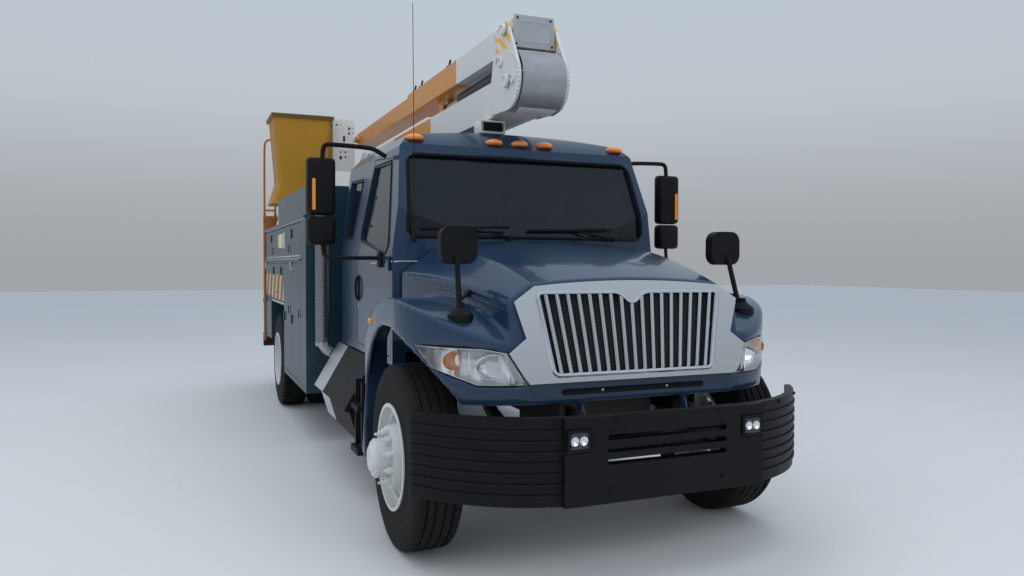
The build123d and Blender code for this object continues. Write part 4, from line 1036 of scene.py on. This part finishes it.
# %% Bumper lamps
cup_profile = [(0.0, 0.004), (0.008, 0.0), (0.016, -0.004), (0.022, -0.006), (0.022, 0.002),
               (0.0, 0.006)]
for side, hand in hands:
    spot = from_front("front_bumper", side * 0.512, 0.77)
    panel(f"bumper_lamp_{hand}", spot + Vector((0, 0.006, 0)), (0.126, 0.04, 0.11), forward,
          ((0.014, 0), (0.002, -0.018)), black_plastic, "chassis", 0.004)
    cups = [knob(f"cup_{k}", spot + Vector((dx, -0.004, 0)), (0, 1, 0), cup_profile, 28,
                 lamp_silver, "chassis") for k, dx in enumerate((-0.024, 0.024))]
    merged(f"bumper_cups_{hand}", *cups)
    pane(f"bumper_lens_{hand}", spot - Vector((0, 0.011, 0)), (0.094, 0.078), lens, "chassis",
         depth=0.002, way=-1, corner=0.008)


# %% Button bolts
def button(name, place, way, size, finish, body, sides=16, slot=None):
    """A low bolt head that stands on a skin; way is where it points."""
    way = Vector(way)
    bolt = start("cylinder", name, vertices=sides, radius=size, depth=size * 0.7,
                 location=place + way * size * 0.2, rotation=way.to_track_quat("Z", "Y").to_euler())
    inset(bolt, way, (size * 0.3, size * 0.25))
    return done(bolt, finish, body, bevel=size * 0.06, slot=slot)


places = [(x, 0.864) for x in (-1.05, -0.78, -0.62, -0.3, 0.3, 0.62, 0.78, 1.05)]
places += [(-0.33, 0.8), (0.33, 0.8), (-0.33, 0.52), (0.33, 0.52)]
bolts = [button(f"bolt_{k}", from_front("front_bumper", x, z), forward, 0.011, black_plastic,
                "chassis") for k, (x, z) in enumerate(places)]
merged("bumper_bolts", *bolts)
print("bumper bolts:", len(places))

# %% [markdown]
# ## Door furniture, bright strips and antenna
# Each door has an upright pull handle in a shallow cup with a lock below it. A thin bright
# strip runs from the cab's front pillar into the door, and a small amber lamp sits on each
# fender. The whip antenna stands at the windshield's foot.

# %% Handles, strips, side lamps
grip_path = ((0, 0.09), (0.022, 0.08), (0.026, 0.0), (0.022, -0.08), (0, -0.09))
for side, hand in hands:
    door = f"door_{hand}"
    skin = from_side(door, side, 1.735, 1.43)
    panel(f"handle_cup_{hand}", skin, (0.012, 0.052, 0.2), (side, 0, 0),
          ((0.007, 0), (0.004, -0.008)), black_plastic, door, 0.004)
    rod(f"handle_grip_{hand}", [skin + Vector((side * a, 0, c)) for a, c in grip_path], 0.009,
        black_plastic, door)
    knob(f"door_lock_{hand}", skin + Vector((0, 0, -0.14)), (side, 0, 0),
         [(0.016, 0.0), (0.016, 0.004), (0.012, 0.006), (0.0, 0.006)], 24, chrome, door)
    for name, node, body, first, last in (("door", door, door, 0.77, 1.3),
                                          ("cab", "cab_shell", "chassis", 0.63, 0.72)):
        path = []
        for k in range(7):
            y = first + (last - first) * k / 6
            path.append(from_side(node, side, y, 1.645 - 0.02 * y) + Vector((side * 0.001, 0, 0)))
        done(tube(f"{name}_strip_{hand}", path, 0.006, smooth=False), chrome, body)
    lamp = ball(f"fender_lamp_{hand}", from_side("hood", side, 0.5, 1.26), (0.016, 0.034, 0.022),
                24, 12)
    done(lamp, amber, "hood", smooth=60)

# %% Antenna
root = at(-0.868, 0.592, 1.79)
whip = rod("antenna_whip", [root + Vector(p) for p in
                            ((0, 0, 0.05), (0, 0.002, 0.5), (0.001, 0.01, 1.0), (0.002, 0.03, 1.5))],
           0.0022, black_plastic, "chassis")
base = knob("antenna_base", root, upward,
            [(0.0, -0.04), (0.016, -0.04), (0.016, 0.0), (0.011, 0.008), (0.009, 0.03),
             (0.006, 0.034), (0.006, 0.06), (0.0, 0.062)], 24, black_plastic, "chassis")
merged("antenna", whip, base)
print("antenna top", round(root.z + 1.5, 3))

# %% [markdown]
# ## The service body
# The lockers get what the hand meets on them: bright drip rails over the doors, a silver edge
# on the long door, T-handles, half rings at the corners, hinge strips, and a pale side lamp
# with a silver bracket. A door's pieces ride on that door, so they swing with it.

# %% Rails along the body
rail_finish = grained("bright_rail", (80, 5), (0.6, 0.61, 0.62), (0.8, 0.81, 0.82), 0.22, 0.15,
                      "aluminium", Metallic=1.0)


def rail(name, side, y_from, y_to, z, body, height=0.014, out=0.006):
    """A bright strip along the body's side, with a turned-down lip."""
    outline = [at(side * (body_side + a), y_from, z - drop) for a, drop in
               ((0, 0), (out, height * 0.35), (out, height), (0, height))]
    return done(slab(name, outline, (0, y_to - y_from, 0)), rail_finish, body, bevel=0.0015)


for side, hand in hands:
    merged(f"body_rails_{hand}", rail("rail_a", side, 2.9, 6.32, 2.043, "chassis", 0.022, 0.008),
           rail("rail_b", side, 3.19, 6.32, 1.668, "chassis"),
           rail("rail_c", side, 4.46, 5.73, 1.192, "chassis", out=0.007))
    rail(f"long_edge_{hand}", side, 3.225, 6.295, 1.697, f"locker_long_{hand}")


# %% T-handles
def handle(name, side, y, z, body, upright=True):
    """A folding T-handle: a round steel dish with a black bar across it."""
    skin = at(side * 1.2203, y, z)
    dish = start("cylinder", name + "_dish", vertices=32, radius=0.042, depth=0.006,
                 location=skin + Vector((side * 0.001, 0, 0)), rotation=(0, math.pi / 2, 0))
    bpy.ops.transform.resize(value=(1, 0.75, 1.25), center_override=skin)
    inset(dish, (side, 0, 0), (0.006, 0), (0.004, -0.003))
    dish = done(dish, steel, body, bevel=0.0008)
    along = Vector((0, 0, 0.04)) if upright else Vector((0, 0.04, 0))
    lift = Vector((side * 0.009, 0, 0))
    bar = done(tube(name + "_bar", [skin + along + lift, skin - along + lift], 0.006, False),
               black_paint, body)
    stem = done(tube(name + "_stem", [skin, skin + lift], 0.007, False), steel, body)
    return merged(name, dish, bar, stem)


for side, hand in hands:
    for name, y, z in (("front", 3.27, 1.15), ("middle", 4.0, 1.15), ("wheel", 5.1, 1.29),
                       ("rear", 5.8, 1.2), ("long", 4.0, 1.77), ("long", 5.5, 1.77)):
        handle(f"{name}_handle_{hand}_{int(y * 10)}", side, y, z, f"locker_{name}_{hand}",
               upright=name != "wheel")

# %% Half rings, side lamp, hinge strips
pale = Finish("pale_lens", "amber", Coat_Weight=0.5)
pale.set("Base Color", pale.mix(pale.noise(15), (0.75, 0.68, 0.36), (0.82, 0.76, 0.46)))
pale.set("Roughness", 0.2 + pale.noise(40) * 0.08)
pale.bump(abs(pale.place()[1].wave(0.01) - 0.5), 0.3, 0.001)
arc = [(math.sin(t), math.cos(t)) for t in (math.pi * s / 8 for s in range(9))]
for side, hand in hands:
    for k, (name, y) in enumerate((("front", 3.86), ("rear", 6.29))):
        foot = at(side * body_side, y, 1.555)
        rod(f"corner_ring_{hand}_{k}",
            [foot + Vector((side * 0.012 * a, 0.06 * b, 0.075 * a)) for a, b in arc], 0.006,
            chrome, f"locker_{name}_{hand}")
    door = f"locker_long_{hand}"
    panel(f"lamp_plate_{hand}", at(side * 1.222, 4.42, 1.862), (0.006, 0.14, 0.17), (side, 0, 0),
          ((0.012, 0.003),), rail_finish, door, 0.002)
    panel(f"side_lamp_{hand}", at(side * 1.225, 4.7, 1.862), (0.014, 0.34, 0.15), (side, 0, 0),
          ((0.01, 0.003),), pale, door, 0.006)
    for name, y_end, low in (("front", 3.885, 0.5), ("middle", 4.461, 0.5), ("rear", 6.305, 0.74)):
        outline = [at(side * (body_side + out), y_end - ahead, low + 0.02) for out, ahead in
                   ((0, 0.012), (0.002, 0.012), (0.002, 0.002), (0, 0.002))]
        strip = slab(f"{name}_hinge_{hand}", outline, (0, 0, 1.625 - low - 0.04))
        done(strip, steel, f"locker_{name}_{hand}")
print("locker pieces done")

# %% [markdown]
# ## The hoop of the ladder
# The ladder's two rails go on above the body as one thin hoop with a cross bar, for the hand.

# %% Hoop
hoop = ((-1.09, 2.26), (-1.09, 3.1), (-1.1, 3.2), (-1.155, 3.235), (-1.212, 3.2), (-1.225, 3.1),
        (-1.225, 2.26))
cross = ((-1.09, 2.31), (-1.225, 2.31))
merged("ladder_hoop", *[rod(name, [at(x, 6.45, z) for x, z in path], radius, ladder_paint,
                            "chassis", smooth)
                        for name, path, radius, smooth in (("hoop_bend", hoop, 0.013, True),
                                                           ("hoop_cross", cross, 0.012, False))])

# %% [markdown]
# ## The elbow and the end of the upper boom
# The grey end plate of the upper boom has four bolts and a raised frame round an inspection
# cover, and its metal is brushed: a noise stretched into fine upright lines. On the elbow's
# plates there are pin heads with keeper bolts, and a scalloped bead round the rolled cover.

# %% End plate of the upper boom
cover_grey = Finish("brushed_cover", "white_paint", Metallic=0.55)
grain = cover_grey.noise(1.0, 6.0, 0.7, stretch=(160, 6, 6))
grime = ((2.86 - cover_grey.place()[2]) * 4).clamp() * cover_grey.noise(7, 5, 0.7)
brushed = cover_grey.mix(grain, (0.34, 0.36, 0.38), (0.5, 0.52, 0.54))
cover_grey.set("Base Color", cover_grey.mix(grime, brushed, (0.2, 0.19, 0.16)))
cover_grey.set("Roughness", 0.34 + grain * 0.2 + grime * 0.2)
corners = [at(x, 0.6485, z)
           for x, z in ((-0.16, 3.098), (0.16, 3.098), (0.15, 3.318), (-0.15, 3.318))]
plate = slab("boom_end_plate", corners, (0, -0.006, 0))
inset(plate, forward, (0.034, 0), (0.006, 0.006), (0.004, 0), (0.003, -0.004))
done(plate, cover_grey, "upper_boom", bevel=0.0012)
places = ((-0.125, 3.297), (0.125, 3.297), (-0.135, 3.12), (0.135, 3.12))
bolts = [button(f"end_bolt_{k}", at(x, 0.6425, z), forward, 0.009, black_paint, "upper_boom", 6)
         for k, (x, z) in enumerate(places)]
merged("boom_end_bolts", *bolts)

# %% Pin heads on the elbow, and the scalloped bead
pins = ((0.72, 3.225, 0.04), (0.665, 2.865, 0.046), (0.79, 3.02, 0.036), (0.57, 2.86, 0.03))
for side, hand in hands:
    parts = []
    for k, (y, z, size) in enumerate(pins):
        skin = from_side("elbow", side, y, z)
        profile = [(size, -0.004), (size, 0.01), (size * 0.85, 0.016), (size * 0.62, 0.016),
                   (size * 0.58, 0.01), (0.0, 0.01)]
        parts.append(knob(f"pin_{k}", skin, (side, 0, 0), profile, 36, white_paint, "elbow"))
        parts.append(button(f"keeper_{k}", skin + Vector((0, size * 1.35, size * 0.8)),
                            (side, 0, 0), 0.009, steel, "elbow", 6, "white_paint"))
    for k in range(15):
        angle = math.radians(118 + k * 9)
        place = at(side * 0.1855, 0.665 + 0.186 * math.cos(angle), 2.865 + 0.186 * math.sin(angle))
        lobe = ball(f"lobe_{k}", place, (0.009, 0.014, 0.014), 12, 8)
        parts.append(done(lobe, white_paint, "elbow", smooth=60))
    merged(f"elbow_pins_{hand}", *parts)
print("elbow pins done")

# %% [markdown]
# ## Hose carriers and the bracket's plate
# Combs of black plastic carry three hoses along the upper boom. The white plate beside the
# bucket has a few slots and bolts in it, drawn here as dark plugs and hexagon heads.

# %% Hose carriers
combs = []
for k, y in enumerate((2.2, 3.05, 3.28)):
    for j in range(5):
        x = -0.1 + j * 0.05
        path = [at(x, y, 3.305), at(x, y, 3.34), at(x + 0.012, y, 3.375)]
        combs.append(rod(f"tine_{k}_{j}", path, 0.009, black_plastic, "upper_boom"))
    combs.append(panel(f"comb_{k}", at(0, y, 3.314), (0.245, 0.05, 0.012), upward,
                       ((0.008, 0.003),), black_plastic, "upper_boom", 0.002))
hose_path = ((0.9, 3.318), (1.4, 3.322), (2.2, 3.332), (2.7, 3.322), (3.3, 3.33))
for j, x in enumerate((-0.075, -0.025, 0.025)):
    combs.append(rod(f"hose_{j}", [at(x, y, z) for y, z in hose_path], 0.008, black_plastic,
                     "upper_boom"))
merged("hose_carriers", *combs)

# %% Plugs and bolts on the bracket's plate
plugs = ((-0.253, 3.33, 0.024, 0.036), (-0.255, 3.27, 0.02, 0.03), (-0.317, 3.2, 0.026, 0.075),
         (-0.36, 3.03, 0.02, 0.02), (-0.3, 3.03, 0.02, 0.02), (-0.36, 2.96, 0.03, 0.045),
         (-0.3, 2.97, 0.02, 0.02), (-0.41, 3.37, 0.02, 0.02))
marks = []
for k, (x, z, wide, high) in enumerate(plugs):
    marks.append(pane(f"plug_{k}", at(x, 5.7905, z), (wide, high), black_paint, "platform",
                      depth=0.004, way=-1, corner=min(wide, high) * 0.45))
    marks.append(button(f"plug_bolt_{k}", at(x + 0.045, 5.79, z + 0.01), forward, 0.008, steel,
                        "platform", 6))
merged("bracket_marks", *marks)
print("booms dressed")

# %% [markdown]
# ## Steps and tail
# The black step ahead of the battery box has low ridges across its treads, so that a boot
# grips. At the tail there are two round red lamps on each side, with fine lines in their lenses.

# %% Step treads
treads = []
for k in range(5):
    y = 1.035 + k * 0.045
    for j, (z, x_from, x_to) in enumerate(((0.34, -1.148, -0.72), (0.635, -1.148, -0.9))):
        outline = [at(x_from, y + a, z + b)
                   for a, b in ((0, -0.004), (0.02, -0.004), (0.016, 0.005), (0.004, 0.005))]
        treads.append(done(slab(f"ridge_{k}_{j}", outline, (x_to - x_from, 0, 0)), black_paint,
                           "chassis"))
merged("step_treads", *treads)

# %% Tail lamps
red_lens = Finish("red_lens", "amber", Roughness=0.18, Coat_Weight=0.6)
red_lens.set("Base Color", red_lens.mix(red_lens.noise(20), (0.45, 0.01, 0.008),
                                        (0.6, 0.02, 0.012)))
red_lens.bump(abs(red_lens.place()[2].wave(0.01) - 0.5), 0.3, 0.001)
tail_profile = [(0.0, 0.012), (0.03, 0.011), (0.046, 0.007), (0.05, 0.003), (0.056, 0.003),
                (0.058, 0.0), (0.058, -0.01)]
for side, hand in hands:
    spot = touch("body_deck", (side * 0.78, 6, 0.61), forward)
    lamps = [knob(f"tail_{k}", spot + Vector((dx, 0, 0)), (0, 1, 0), tail_profile, 36, red_lens,
                  "chassis", 40) for k, dx in enumerate((0, side * 0.14))]
    merged(f"tail_lamps_{hand}", *lamps)
print("tail lamps at", [round(v, 3) for v in spot])

# %% [markdown]
# ## A softly pressed hood
# The real hood is one moulding, and all its creases are soft. The CAD hood has sharp ones. A
# copy is remeshed into small even squares and then smoothed, which rounds every crease and
# rim by a centimetre or so, and keeps the shape. The paint gets the thin dark lines of the
# hood's joints, a thin dark plate stands for the slot below the grille, and a pressed line
# runs along each side.

# %% Hood
hood_paint = paint("hood_paint", (0.008, 0.03, 0.07), 0.6, slot="cab_paint")
x, y, z = hood_paint.place()
joint = abs(abs(x) - 0.56 - (z - 0.875) * 0.55) < 0.0022
hood_paint.tint(joint * (z < 1.0) * (y < aft(-0.4)), (0.002, 0.003, 0.004))
hood_skin = copied("hood_skin", "hood")
modify(hood_skin, "REMESH", mode="VOXEL", voxel_size=0.013)
modify(hood_skin, "SMOOTH", factor=0.5, iterations=9)
done(hood_skin, hood_paint, "hood", smooth=60)
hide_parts("hood")
print("hood faces:", len(hood_skin.data.polygons))

# %% Slot below the grille, and the pressed line along the hood's side
spot = from_front("hood", 0, 0.95)
slot_line = rounded([(a * 0.44, spot.y - 0.003, 0.95 + b * 0.016) for a, b in square], 0.015)
slot_piece = slab("valance_slot", slot_line, (0, 0.012, 0))
inset(slot_piece, forward, (0.003, -0.001))
done(slot_piece, black_plastic, "hood")
studs = [button(f"stud_{k}", Vector((x, spot.y + 0.004, 0.95)), forward, 0.01, steel, "hood", 6)
         for k, x in enumerate((-0.2, 0.2))]
merged("valance_slot", slot_piece, *studs)
ridge = [seen("hood", 409 + 96 * t, 278 + 28 * t + 4 * t * t) for t in (k / 24 for k in range(25))]
for _ in range(3):
    eased = [(a + b * 2 + c) / 4 for a, b, c in zip(ridge, ridge[1:], ridge[2:])]
    ridge = [ridge[0]] + eased + [ridge[-1]]
line = rod("hood_line_right", ridge, 0.006, hood_paint, "hood")
twin(line, "hood_line_left", "hood")
print("pressed line from", [round(v, 2) for v in ridge[0]], "to", [round(v, 2) for v in ridge[-1]])

# %% [markdown]
# ## The floor
# A plain pale sheet, much larger than the truck, catches the shadow. A faint noise keeps it from
# looking like a flat colour.

# %% Floor
bpy.ops.mesh.primitive_plane_add(size=90, location=(0, 0, 0))
floor = bpy.context.object
floor.name = "floor"
ground = Finish("floor", Roughness=0.9)
ground.set("Base Color", ground.mix(ground.noise(0.6), (0.66, 0.66, 0.66), (0.69, 0.69, 0.7)))
floor.data.materials.append(ground.material)

# %% [markdown]
# ## Finish
